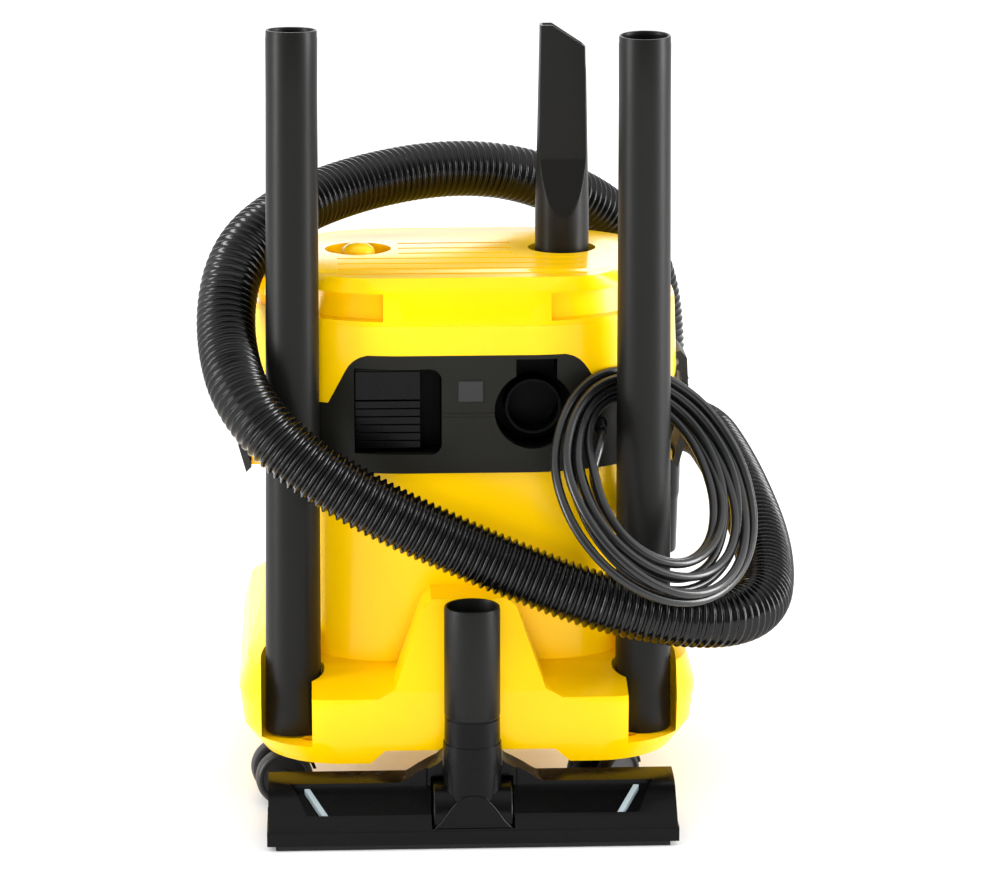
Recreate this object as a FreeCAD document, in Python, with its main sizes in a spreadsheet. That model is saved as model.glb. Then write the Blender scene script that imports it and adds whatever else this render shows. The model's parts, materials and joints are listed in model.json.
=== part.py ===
"""A wheeled wet-and-dry vacuum cleaner with its hose slung round it and its tools parked.

Millimetres. +Z is up, the floor is z = 0, +Y is the front, and the tools are parked at the back, -Y.
"""
import FreeCAD, Part
import math
import os
import re

import Sketcher
from FreeCAD import Placement, Rotation, Vector

doc = FreeCAD.newDocument("canister_vacuum")

SIZES = {
    "chassis_width": 327, "chassis_back": 154, "chassis_front": 190, "chassis_bottom": 45,
    "chassis_top": 126, "chassis_corner": 62, "ledge_height": 93, "hump_back": 153,
    "tank_width": 278, "tank_back": 105, "tank_front": 140, "tank_bottom": 56, "tank_top": 250,
    "tank_corner": 104, "tank_foot_corner": 58, "tank_draft": 14, "tank_wall": 3.2,
    "head_width": 312, "head_back": 112, "head_front": 148, "head_bottom": 246, "head_corner": 110,
    "head_bulge": 300, "head_seam": 352, "head_wall": 3,
    "band_top": 376, "lid_top": 384.5, "lid_width": 216, "lid_back": 100, "lid_front": 66,
    "lid_corner": 40, "cover_wall": 15, "lid_skin": 3,
    "tool_side": 73, "tool_depth": 10, "tool_hole": 49, "tool_pocket_floor": 325,
    "knob_side": 75, "knob_recess": 48, "knob_width": 24.7,
    "panel_step": 295, "port_side": 46.6, "port_height": 291, "port_bore": 27.8, "port_depth": 30,
    "pipe_side": 125, "pipe_back": 110, "pipe_foot": 58, "pipe_length": 500,
    "pipe_foot_width": 39.8, "pipe_top_width": 35.4, "pipe_wall": 1.8,
    "crevice_width": 39, "crevice_top": 547, "crevice_foot": 325.2,
    "nozzle_width": 287, "nozzle_back": 206, "nozzle_front": 148, "nozzle_height": 36,
    "nozzle_lip": 14, "neck_back": 183, "neck_width": 39, "neck_ring": 91, "neck_top": 170,
    "castor_side": 112, "castor_back": 86, "castor_front": 140, "castor_trail": 22,
    "wheel_width": 41, "wheel_tread": 12, "wheel_gap": 14, "stem_width": 8, "running_gap": 0.06,
    "latch_depth": 15, "latch_pivot": 302, "latch_length": 78, "latch_breadth": 40,
    "handle_hinge_back": 143, "handle_hinge": 360, "handle_half": 50, "handle_reach": 50,
    "motor_width": 92, "motor_foot": 262, "motor_top": 328, "motor_depth": 20,
    "plate_bottom": 254, "plate_thick": 3,
    "hose_width": 42, "cord_width": 7, "inlet_height": 200, "gland_side": 92, "gland_height": 280,
}

sheet = doc.addObject("Spreadsheet::Sheet", "sizes")
for row, (alias, number) in enumerate(SIZES.items(), 1):
    sheet.set(f"A{row}", alias)
    sheet.set(f"B{row}", str(number))
    sheet.setAlias(f"B{row}", alias)
doc.recompute()

NODES = []


def bound(expression):
    """An expression of the sheet's aliases, as another object holds it."""
    return re.sub(r"[a-z]\w+", r"sizes.\g<0>", str(expression))


def value(expression):
    """The number that an expression of the sheet's aliases comes to now."""
    return float(sheet.evalExpression(bound(expression)))


def bind(thing, **properties):
    """Binds properties to expressions; a double underscore stands for a dot."""
    for name, expression in properties.items():
        thing.setExpression(name.replace("__", "."), bound(expression))
    return thing


def keep(thing, label):
    """Names an object as a piece of the machine, to be written to a file of that name."""
    thing.Label = label
    NODES.append(thing)
    return thing


# ---- primitives and booleans, with every size an expression ----

def box(label, x, y, z, length, width, height):
    thing = doc.addObject("Part::Box", label)
    return bind(thing, Placement__Base__x=x, Placement__Base__y=y, Placement__Base__z=z,
                Length=length, Width=width, Height=height)


ALONG = {"z": Rotation(), "x": Rotation(Vector(0, 1, 0), 90), "y": Rotation(Vector(1, 0, 0), -90)}


def cylinder(label, x, y, z, radius, height, along="z"):
    thing = doc.addObject("Part::Cylinder", label)
    thing.Placement = Placement(Vector(), ALONG[along])
    return bind(thing, Placement__Base__x=x, Placement__Base__y=y, Placement__Base__z=z,
                Radius=radius, Height=height)


def cone(label, x, y, z, radius_low, radius_high, height, along="z"):
    thing = doc.addObject("Part::Cone", label)
    thing.Placement = Placement(Vector(), ALONG[along])
    return bind(thing, Placement__Base__x=x, Placement__Base__y=y, Placement__Base__z=z,
                Radius1=radius_low, Radius2=radius_high, Height=height)


def fuse(label, *things):
    thing = doc.addObject("Part::MultiFuse", label)
    thing.Shapes = list(things)
    return thing


def cut(label, base, *tools):
    thing = doc.addObject("Part::Cut", label)
    thing.Base = base
    thing.Tool = tools[0] if len(tools) == 1 else fuse(label + "_tools", *tools)
    return thing


def common(label, base, tool):
    thing = doc.addObject("Part::Common", label)
    thing.Base = base
    thing.Tool = tool
    return thing


def copy_of(label, thing):
    """A second object that follows the first, for use in another boolean."""
    link = doc.addObject("Part::Compound", label)
    link.Links = [thing]
    return link


# ---- part design bodies ----

def plane_sketch(body, label, role, height=None):
    sketch = body.newObject("Sketcher::SketchObject", label)
    plane = [f for f in body.Origin.OriginFeatures if f.Role == role][0]
    sketch.AttachmentSupport = [(plane, "")]
    sketch.MapMode = "FlatFace"
    if height is not None:
        sketch.setExpression("AttachmentOffset.Base.z", bound(height))
    return sketch


def rounded_rectangle(sketch, half, back, front, corner):
    """A rectangle from -half to half and -back to front with round corners, all of them expressions."""
    a, b, f, r = (value(e) for e in (half, back, front, corner))
    corners = [(a - r, r - b, -90), (a - r, f - r, 0), (r - a, f - r, 90), (r - a, r - b, 180)]
    ends = [((r - a, -b), (a - r, -b)), ((a, r - b), (a, f - r)),
            ((a - r, f), (r - a, f)), ((-a, f - r), (-a, r - b))]
    for (x1, y1), (x2, y2) in ends:
        sketch.addGeometry(Part.LineSegment(Vector(x1, y1, 0), Vector(x2, y2, 0)))
    for x, y, turn in corners:
        circle = Part.Circle(Vector(x, y, 0), Vector(0, 0, 1), r)
        start = math.radians(turn)
        sketch.addGeometry(Part.ArcOfCircle(circle, start, start + math.pi / 2))
    rules = [Sketcher.Constraint(kind, line) for kind, line in
             (("Horizontal", 0), ("Horizontal", 2), ("Vertical", 1), ("Vertical", 3))]
    for side in range(4):
        rules.append(Sketcher.Constraint("Tangent", side, 2, 4 + side, 1))
        rules.append(Sketcher.Constraint("Tangent", 4 + side, 2, (side + 1) % 4, 1))
    rules += [Sketcher.Constraint("Equal", 4 + side, 5 + side) for side in range(3)]
    sketch.addConstraint(rules)
    named = (("corner", corner, Sketcher.Constraint("Radius", 4, r)),
             ("right", half, Sketcher.Constraint("DistanceX", -1, 1, 1, 1, a)),
             ("left", half, Sketcher.Constraint("DistanceX", 3, 1, -1, 1, a)),
             ("front", front, Sketcher.Constraint("DistanceY", -1, 1, 2, 1, f)),
             ("back", back, Sketcher.Constraint("DistanceY", 0, 1, -1, 1, b)))
    for name, expression, rule in named:
        index = sketch.addConstraint(rule)
        sketch.renameConstraint(index, name)
        sketch.setExpression("Constraints." + name, bound(expression))


def loft(label, *sections):
    """A body through rounded rectangles, each given as height, half width, back, front, corner."""
    body = doc.addObject("PartDesign::Body", label)
    sketches = []
    for number, (height, *outline) in enumerate(sections):
        sketch = plane_sketch(body, f"{label}_section_{number}", "XY_Plane", height)
        rounded_rectangle(sketch, *outline)
        sketches.append(sketch)
    doc.recompute()
    feature = body.newObject("PartDesign::AdditiveLoft", label + "_loft")
    feature.Profile = sketches[0]
    feature.Sections = sketches[1:]
    feature.Ruled = True
    body.Tip = feature
    return body


def prism(label, role, points, start, length):
    """A body that pads a polygon; its plane is moved by start along the plane's own normal."""
    body = doc.addObject("PartDesign::Body", label)
    sketch = plane_sketch(body, label + "_outline", role, start)
    for (x1, y1), (x2, y2) in zip(points, points[1:] + points[:1]):
        sketch.addGeometry(Part.LineSegment(Vector(x1, y1, 0), Vector(x2, y2, 0)))
    last = len(points)
    sketch.addConstraint([Sketcher.Constraint("Coincident", i, 2, (i + 1) % last, 1) for i in range(last)])
    doc.recompute()
    pad = body.newObject("PartDesign::Pad", label + "_pad")
    pad.Profile = sketch
    pad.setExpression("Length", bound(length))
    body.Tip = pad
    return body


def turned(label, x, y, points):
    """A body revolved about a vertical line at x, y from a half outline of (radius, height) points."""
    body = doc.addObject("PartDesign::Body", label)
    sketch = plane_sketch(body, label + "_outline", "XZ_Plane")
    for (x1, y1), (x2, y2) in zip(points, points[1:] + points[:1]):
        sketch.addGeometry(Part.LineSegment(Vector(x1, y1, 0), Vector(x2, y2, 0)))
    last = len(points)
    sketch.addConstraint([Sketcher.Constraint("Coincident", i, 2, (i + 1) % last, 1) for i in range(last)])
    doc.recompute()
    feature = body.newObject("PartDesign::Revolution", label + "_turn")
    feature.Profile = sketch
    feature.ReferenceAxis = (sketch, ["V_Axis"])
    feature.Angle = 360
    body.Tip = feature
    return bind(body, Placement__Base__x=x, Placement__Base__y=y)


# ---- the three shell outlines, grown or shrunk by a wall ----

def tank_outline(label, inset=0, low="tank_bottom", high="tank_top"):
    narrow = f"tank_width / 2 - {inset}"
    return loft(label,
                (low, f"{narrow} - tank_draft", f"tank_back - 8 - {inset}", f"tank_front - 10 - {inset}",
                 f"tank_foot_corner - {inset}"),
                (high, narrow, f"tank_back - {inset}", f"tank_front - {inset}", f"tank_corner - {inset}"))


def head_outline(label, inset=0, low="head_bottom", high="head_seam"):
    half = f"head_width / 2 - {inset}"
    return loft(label,
                (low, f"{half} - 6", f"head_back - 2 - {inset}", f"head_front - 3 - {inset}",
                 f"head_corner - 2 - {inset}"),
                ("head_bulge", half, f"head_back - {inset}", f"head_front - {inset}",
                 f"head_corner + 2 - {inset}"),
                (high, f"{half} - 2", f"head_back - 1 - {inset}", f"head_front - 2 - {inset}",
                 f"head_corner - {inset}"))


def cover_outline(label, inset=0, low="head_seam", high="lid_top"):
    half = f"head_width / 2 - {inset}"
    return loft(label,
                (low, f"{half} - 2", f"head_back - 1 - {inset}", f"head_front - 2 - {inset}",
                 f"head_corner - {inset}"),
                ("band_top", f"{half} - 8", f"head_back - 5 - {inset}", f"head_front - 12 - {inset}",
                 f"head_corner - 6 - {inset}"),
                (high, f"lid_width / 2 - {inset}", f"lid_back - {inset}", f"lid_front - {inset}",
                 f"lid_corner - {inset} / 2"))


SIDES = (("left", -1), ("right", 1))
ENDS = (("rear", -1, "castor_back"), ("front", 1, "castor_front"))


# ---- chassis ----

def make_chassis():
    half = "chassis_width / 2"
    blank = loft("chassis_blank",
                 ("chassis_bottom", f"{half} - 17", "chassis_back - 5", "chassis_front - 8", "chassis_corner - 4"),
                 ("chassis_bottom + 17", f"{half} - 3.5", "chassis_back - 1", "chassis_front - 2", "chassis_corner"),
                 ("ledge_height - 5", half, "chassis_back", "chassis_front", "chassis_corner"),
                 ("chassis_top - 16", f"{half} - 6", "chassis_back - 5", "chassis_front - 5", "chassis_corner"),
                 ("chassis_top", f"{half} - 21", "chassis_back - 42", "chassis_front - 42", "chassis_corner"))
    hump = prism("chassis_hump", "XZ_Plane",
                 [(-64, 80), (-64, 94), (-53, 100), (-33, 156), (-27, 162),
                  (27, 162), (33, 156), (53, 100), (64, 94), (64, 80)], "100", "hump_back - 100")
    slope = prism("hump_slope", "YZ_Plane", [(-160, 96), (-153, 96), (-136, 170), (-160, 170)], "-70", "140")
    shaped_hump = cut("hump_shaped", hump, slope)
    core = prism("hump_core", "XZ_Plane", [(-47, 70), (-47, 92), (-29, 148), (29, 148), (47, 92), (47, 70)],
                 "109", "hump_back - 113")
    core_slope = prism("hump_core_slope", "YZ_Plane", [(-160, 88), (-149, 88), (-132, 160), (-160, 160)],
                       "-70", "140")
    ledge = prism("ledge_cut", "YZ_Plane",
                  [(-165, 90.5), (-104, 105), (-20, 112), (-20, 140), (-165, 140)], "-112", "224")
    seat = tank_outline("tank_seat")
    arch = prism("rear_arch", "XZ_Plane", [(-76, 40), (-60, 55), (60, 55), (76, 40)], "118", "60")
    groove = cylinder("neck_groove", "0", "-neck_back", "chassis_bottom", "neck_width / 2 + 1.5", "140")
    under = loft("under_blank",
                 ("chassis_bottom - 1", f"{half} - 24", "chassis_back - 12", "chassis_front - 15",
                  "chassis_corner - 9"),
                 ("chassis_bottom + 37", f"{half} - 9", "chassis_back - 7", "chassis_front - 7",
                  "chassis_corner - 7"))
    ribs = [box("tank_shoulder", "-tank_width / 2 + 6", "-tank_back", "tank_bottom - 4",
                "tank_width - 12", "tank_back + tank_front - 5", "60")]
    pockets = []
    for side, sign in SIDES:
        ribs.append(box(f"pocket_wall_{side}", f"{sign} * pipe_side - 27", "-chassis_back", "chassis_bottom",
                        "54", "72", "60"))
        pockets.append(cylinder(f"pocket_round_{side}", f"{sign} * pipe_side", "-pipe_back + 1",
                                "pipe_foot", "22.5", "90"))
        pockets.append(box(f"pocket_mouth_{side}", f"{sign} * (pipe_side + 4.5) - 18", "-pipe_back - 59",
                           "pipe_foot", "36", "60", "90"))
        pockets.append(cylinder(f"pocket_drain_{side}", f"{sign} * (pipe_side - 11)", "-pipe_back - 19",
                                "chassis_bottom - 2", "5", "20"))
        for end, front, depth in ENDS:
            ribs.append(cylinder(f"castor_boss_{end}_{side}", f"{sign} * castor_side", f"{front} * {depth}",
                                 "chassis_bottom", "9", "40"))
            pockets.append(cylinder(f"castor_bore_{end}_{side}", f"{sign} * castor_side", f"{front} * {depth}",
                                    "chassis_bottom - 5", "stem_width / 2 + running_gap", "11"))
            pockets.append(cylinder(f"screw_hole_{end}_{side}", f"{sign} * 60", f"{front} * {depth} * 0.8",
                                    "chassis_bottom - 5", "2.1", "20"))
    hollow = cut("under_hollow", under, *ribs)
    whole = fuse("chassis_whole", cut("chassis_stepped", blank, ledge), shaped_hump)
    keep(cut("chassis_done", whole, seat, arch, groove, hollow, cut("hump_hollow", core, core_slope), *pockets),
         "chassis")


def make_screws():
    screws = []
    for side, sign in SIDES:
        for end, front, depth in ENDS:
            where = (f"{sign} * 60", f"{front} * {depth} * 0.8")
            screws.append(cylinder(f"screw_shank_{end}_{side}", *where, "chassis_bottom + 4.9", "1.9", "5"))
            screws.append(cylinder(f"screw_head_{end}_{side}", *where, "chassis_bottom + 2.5", "4", "2.4"))
    keep(fuse("screws", *screws), "chassis_screws")


# ---- tank ----

def make_tank():
    outer = tank_outline("tank_outer")
    inner = tank_outline("tank_inner", "tank_wall", "tank_bottom + tank_wall", "tank_top + 1")
    bore = cylinder("inlet_hole", "0", "tank_front - 40", "inlet_height", "24", "60", "y")
    catches = [box(f"latch_catch_{side}", f"{sign} * 145 - 9.2", "latch_depth - latch_breadth / 2 + 3", "227",
                   "18.4", "latch_breadth - 6", "7") for side, sign in SIDES]
    keep(cut("tank_done", fuse("tank_whole", outer, *catches), inner, bore), "tank")
    ring = tank_outline("seal_outer", "0.5", "tank_top", "plate_bottom")
    hole = tank_outline("seal_inner", "tank_wall + 2", "tank_top - 1", "plate_bottom + 1")
    keep(cut("seal_done", ring, hole), "tank_seal")


def make_inlet():
    flange = cylinder("inlet_flange", "0", "tank_front - 4", "inlet_height", "29", "9", "y")
    sleeve = cylinder("inlet_sleeve", "0", "tank_front - 34", "inlet_height", "23.9", "52", "y")
    clear = tank_outline("inlet_clear")
    trimmed = cut("inlet_trimmed", flange, clear)
    bore = cylinder("inlet_bore", "0", "tank_front - 60", "inlet_height", "19", "110", "y")
    keep(cut("inlet_done", fuse("inlet_whole", trimmed, sleeve), bore), "inlet_port")
    back = value("tank_front")
    level = value("inlet_height")
    bend = 20
    line = Part.Wire([
        Part.LineSegment(Vector(0, back + 18.2, level), Vector(0, back + 26, level)).toShape(),
        Part.Arc(Vector(0, back + 26, level), Vector(bend - bend * math.sqrt(0.5),
                 back + 26 + bend * math.sqrt(0.5), level), Vector(bend, back + 46, level)).toShape(),
        Part.LineSegment(Vector(bend, back + 46, level), Vector(32, back + 46, level)).toShape()])
    solids = []
    for radius in (19.8, 16.5):
        circle = Part.Wire(Part.Circle(Vector(0, back + 18.2, level), Vector(0, 1, 0), radius).toShape())
        solids.append(line.makePipeShell([circle], True, False))
    elbow = doc.addObject("Part::Feature", "elbow_shape")
    elbow.Shape = solids[0].cut(solids[1])
    keep(elbow, "inlet_elbow")


# ---- castors ----

CASTOR_REST = {("rear", "left"): 188, ("rear", "right"): 228, ("front", "left"): 160, ("front", "right"): 20}


def make_castors():
    axle_height = value("wheel_width") / 2
    trail = value("castor_trail")
    gap = value("wheel_gap")
    tread = value("wheel_tread")
    radius = value("wheel_width") / 2
    for side, sign in SIDES:
        for end, front, depth in ENDS:
            name = f"{end}_{side}"
            web = Part.makeBox(trail + 12, gap - 3, 12, Vector(-6, -(gap - 3) / 2, axle_height + 7))
            arm = Part.makeCylinder(8, gap - 3, Vector(trail, -(gap - 3) / 2, axle_height), Vector(0, 1, 0))
            arm = arm.fuse(Part.makeBox(11, gap - 3, 15, Vector(trail - 5.5, -(gap - 3) / 2, axle_height + 2)))
            crown = Part.makeCylinder(9, 4, Vector(0, 0, axle_height + 19.5))
            neck = Part.makeCylinder(9, 12, Vector(0, 0, axle_height + 8))
            outer = Part.makeCylinder(radius + 3, 34, Vector(trail, -17, axle_height), Vector(0, 1, 0))
            hollow = Part.makeCylinder(radius + 0.8, 40, Vector(trail, -20, axle_height), Vector(0, 1, 0))
            quarter = Part.makeBox(radius + 3, 40, radius + 3, Vector(trail - radius - 3, -20, axle_height + 6))
            hood = outer.common(quarter).cut(hollow)
            stem = Part.makeCylinder(value("stem_width") / 2, 30.5 - axle_height, Vector(0, 0, axle_height + 20))
            fork = crown.fuse([neck, web, arm, hood, stem])
            wheel_zone = Part.makeCylinder(radius + 0.6, tread + 2, Vector(trail, gap / 2 - 0.4, axle_height),
                                           Vector(0, 1, 0))
            fork = fork.cut([wheel_zone, wheel_zone.mirror(Vector(), Vector(0, 1, 0))])
            bore = Part.makeCylinder(2.5 + value("running_gap"), 60, Vector(trail, -30, axle_height), Vector(0, 1, 0))
            fork = fork.cut(bore)
            axle = Part.makeCylinder(2.5, 2 * tread + gap, Vector(trail, -tread - gap / 2, axle_height),
                                     Vector(0, 1, 0))
            wheels = axle
            for start in (gap / 2, -gap / 2 - tread):
                disc = Part.makeCylinder(radius, tread, Vector(trail, start, axle_height), Vector(0, 1, 0))
                wheels = wheels.fuse(disc.makeFillet(2, [e for e in disc.Edges if len(e.Vertexes) == 1]))
            at = Placement(Vector(sign * value("castor_side"), front * value(depth), 0),
                           Rotation(Vector(0, 0, 1), CASTOR_REST[end, side]))
            for label, shape in ((f"castor_fork_{name}", fork), (f"castor_wheels_{name}", wheels)):
                piece = doc.addObject("Part::Feature", label + "_shape")
                piece.Shape = shape.removeSplitter()
                piece.Placement = at
                keep(piece, label)


# ---- head ----

def make_head():
    outer = head_outline("head_outer")
    cavity = head_outline("head_cavity", "head_wall", "head_bottom - 1", "head_seam + 1")
    skin = cut("head_skin", outer, cavity)
    window = prism("panel_window", "XZ_Plane",
                   [(-98, 295), (-86, 318.5), (-83.4, 322.9), (-79.9, 326.6), (-75.4, 329.4), (-70, 331),
                    (69, 331), (74.4, 329.4), (78.9, 326.6), (82.4, 322.9), (85.5, 318.5), (98, 295),
                    (98, 240), (-98, 240)],
                   "60", "90")
    band = box("panel_band", "-head_width", "-head_back - 20", "head_bottom - 6", "head_width * 2",
               "head_back + 8", "panel_step - head_bottom + 6")
    opening = fuse("panel_opening", window, band)
    panel = common("panel_skin", skin, opening)
    flap_hole = box("flap_hole", "-79.6", "-130", "259.8", "61.3", "60", "61.7")
    port_hole = cylinder("port_hole", "port_side", "-140", "port_height", "port_bore", "80", "y")
    key_hole = box("key_hole", "34", "-140", "300", "29", "80", "28")
    gland_bore = cylinder("gland_hole", "gland_side", "-head_back - 10", "gland_height", "5.2", "60", "y")
    keep(cut("panel_done", panel, flap_hole, port_hole, key_hole, gland_bore), "rear_panel")
    shell_cavity = copy_of("head_cavity_copy", opening)
    lock = box("latch_slot", "-head_width", "latch_depth - latch_breadth / 2 - 1.5", "latch_pivot - 12",
               "head_width * 2", "latch_breadth + 3", "22")
    keep(cut("shell_done", skin, shell_cavity, lock), "head_shell")

    tray = box("outlet_box", "-82", "-104", "257.4", "66", "26", "66.6")
    tray_hole = box("outlet_space", "-79.6", "-130", "259.8", "61.3", "50", "61.7")
    inside = head_outline("outlet_trim", "head_wall + 0.3", "head_bottom - 1", "head_seam + 1")
    trimmed_tray = common("outlet_trimmed", cut("outlet_tray", tray, tray_hole), inside)
    keep(cut("outlet_done", trimmed_tray, copy_of("outlet_skin", skin)), "outlet_housing")
    keep(box("grille", "-79", "-98", "260.2", "46", "17.8", "36.4"), "outlet_grille")
    flap = box("flap_plate", "-78.6", "-100", "297.4", "45.4", "3", "20")
    barrel = cylinder("flap_barrel", "-78.6", "-98.5", "319", "1.9", "45.4", "x")
    keep(fuse("flap_done", flap, barrel), "outlet_flap")

    cup = fuse("port_cup", cylinder("port_shell", "port_side", "-104", "port_height", "port_bore + 2",
                                    "port_depth + 2", "y"),
               box("port_key_wall", "32", "-104", "300", "33", "32", "30"))
    bore = fuse("port_space", cylinder("port_recess", "port_side", "-130", "port_height", "port_bore",
                                       "port_depth + 24", "y"),
                box("port_key", "34", "-130", "300", "29", "54", "28"))
    trim = head_outline("port_trim", "head_wall + 0.1", "head_bottom - 1", "head_seam + 1")
    body = cut("port_clear", common("port_trimmed", cut("port_hollow", cup, bore), trim),
               copy_of("port_skin", skin))
    ring = cut("port_ring", cylinder("port_ring_outer", "port_side", "-98", "port_height", "20", "24", "y"),
               cylinder("port_ring_bore", "port_side", "-120", "port_height", "17.7", "60", "y"))
    keep(fuse("port_done", body, ring), "blower_port")
    screws = [cylinder(f"panel_screw_{number}", x, "-head_back + 5.2", z, "3", "4", "y")
              for number, (x, z) in enumerate((("-2", "270"), ("3", "318")))]
    keep(fuse("panel_screw_pair", *[common(f"panel_screw_cut_{i}", s, head_outline(
        f"panel_screw_trim_{i}", "head_wall + 0.1", "head_bottom + 1", "head_seam + 1"))
        for i, s in enumerate(screws)]), "panel_screws")


def make_cover():
    outer = cover_outline("cover_outer")
    inner = cover_outline("cover_inner", "cover_wall", "head_seam - 1", "lid_top - lid_skin")
    shell = cut("cover_shell", outer, inner)
    sleeve = cylinder("tool_sleeve", "tool_side", "tool_depth", "tool_pocket_floor - 3", "tool_hole / 2 + 2.5",
                      "lid_top - tool_pocket_floor + 2")
    boss = cylinder("knob_boss", "-knob_side", "tool_depth", "lid_top - 12", "knob_recess / 2 + 2", "11")
    shelf = box("handle_shelf", "-handle_half - 12", "lid_front", "head_seam", "handle_half * 2 + 24",
                "head_front - lid_front - 3", "11.5")
    nub = cylinder("cover_nub", "0", "head_front - 10", "head_seam + 5", "5", "14")
    whole = fuse("cover_whole", shell, sleeve, boss, shelf, nub)
    cuts = [cylinder("tool_pocket", "tool_side", "tool_depth", "tool_pocket_floor", "tool_hole / 2", "80"),
            cylinder("knob_space", "-knob_side", "tool_depth", "lid_top - 8", "knob_recess / 2", "20"),
            cylinder("spindle_hole", "-knob_side", "tool_depth", "lid_top - 30", "4 + running_gap", "40")]
    for number in range(7):
        near = number < 4
        cuts.append(box(f"lid_groove_{number}", "-90" if near else "-46", f"-87 + 19 * {number}",
                        "lid_top - 1.2", "175" if near else "82", "4", "3"))
    for side, sign in SIDES:
        ring = cut(f"grip_ring_{side}", cover_outline(f"grip_outer_{side}", "-2", "head_seam + 3", "lid_top"),
                   cover_outline(f"grip_inner_{side}", "11", "head_seam + 2", "lid_top + 1"))
        reach = box(f"grip_reach_{side}", f"{sign} * 129 - 70", "-head_back - 10", "head_seam + 3", "140",
                    "head_back + 60", "19")
        cuts.append(common(f"grip_recess_{side}", ring, reach))
        cuts.append(cylinder(f"handle_bore_{side}", f"{sign} * handle_half - 11", "handle_hinge_back",
                             "handle_hinge", "3 + running_gap", "22", "x"))
        cuts.append(box(f"handle_slot_{side}", f"{sign} * handle_half - 6", "handle_hinge_back - 9",
                        "handle_hinge - 12", "12", "30", "30"))
    keep(cut("cover_done", whole, *cuts), "head_cover")


def make_knob():
    radius = value("knob_width") / 2
    low = value("lid_top") - 8
    knob = turned("knob_turned", "-knob_side", "tool_depth",
                  [(0, low - 18), (4, low - 18), (4, low + 0.4), (radius, low + 0.4), (radius, low + 6),
                   (radius - 1.5, low + 9), (radius - 5, low + 11.5), (0, low + 12.5)])
    keep(knob, "power_knob")
    block = box("switch_block", "-knob_side - 15", "tool_depth - 12", "lid_top - 48", "30", "24", "32")
    hole = cylinder("switch_hole", "-knob_side", "tool_depth", "lid_top - 28", "4 + running_gap", "20")
    keep(cut("switch_done", block, hole), "power_switch")


def make_handle():
    half, reach = value("handle_half"), value("handle_reach")
    depth, level = value("handle_hinge_back"), value("handle_hinge")
    proud = 12
    grip = Part.makeCylinder(6, 2 * half, Vector(-half, depth + proud, level - reach), Vector(1, 0, 0))
    pieces = []
    for sign in (-1, 1):
        x = sign * half
        pieces.append(Part.makeBox(10, 8, reach - 4, Vector(x - 5, depth + proud - 5, level - reach)))
        pieces.append(Part.makeCylinder(5, 10, Vector(x - 5, depth, level), Vector(1, 0, 0)))
        pieces.append(Part.makeBox(10, proud + 3, 8, Vector(x - 5, depth, level - 4)))
        pieces.append(Part.makeSphere(6, Vector(x, depth + proud, level - reach)))
    handle = grip.fuse(pieces)
    for sign in (-1, 1):
        handle = handle.cut(Part.makeCylinder(3 + value("running_gap"), 12,
                                              Vector(sign * half - 6, depth, level), Vector(1, 0, 0)))
    piece = doc.addObject("Part::Feature", "handle_shape")
    piece.Shape = handle.removeSplitter()
    keep(piece, "carry_handle")
    pins = [cylinder(f"handle_pin_{side}", f"{sign} * handle_half - 8", "handle_hinge_back", "handle_hinge",
                     "3", "16", "x") for side, sign in SIDES]
    keep(fuse("handle_pins_pair", *pins), "handle_pins")


def make_latches():
    pivot, length = value("latch_pivot"), value("latch_length")
    depth, breadth = value("latch_depth"), value("latch_breadth")
    pins = []
    for side, sign in SIDES:
        outline = [(154.5, pivot + 6), (159, pivot + 8), (164, pivot + 2), (165.5, pivot - 30),
                   (163.5, pivot - 60), (158, pivot - length - 2), (154, pivot - length + 2),
                   (159, pivot - 56), (160.5, pivot - 30), (160, pivot - 8), (154.5, pivot - 6)]
        points = [Vector(sign * x, depth - breadth / 2, z) for x, z in outline]
        plate = Part.Face(Part.makePolygon(points + points[:1])).extrude(Vector(0, breadth, 0))
        eye = Part.makeCylinder(6, breadth, Vector(sign * 155, depth - breadth / 2, pivot), Vector(0, 1, 0))
        bore = Part.makeCylinder(2.5 + value("running_gap"), breadth + 2,
                                 Vector(sign * 155, depth - breadth / 2 - 1, pivot), Vector(0, 1, 0))
        piece = doc.addObject("Part::Feature", f"latch_{side}_shape")
        piece.Shape = plate.fuse(eye).cut(bore).removeSplitter()
        keep(piece, f"latch_{side}")
        pins.append(cylinder(f"latch_pin_{side}", f"{sign} * 155", "latch_depth - latch_breadth / 2 - 4",
                             "latch_pivot", "2.5", "latch_breadth + 8", "y"))
    keep(fuse("latch_pins_pair", *pins), "latch_pins")


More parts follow.
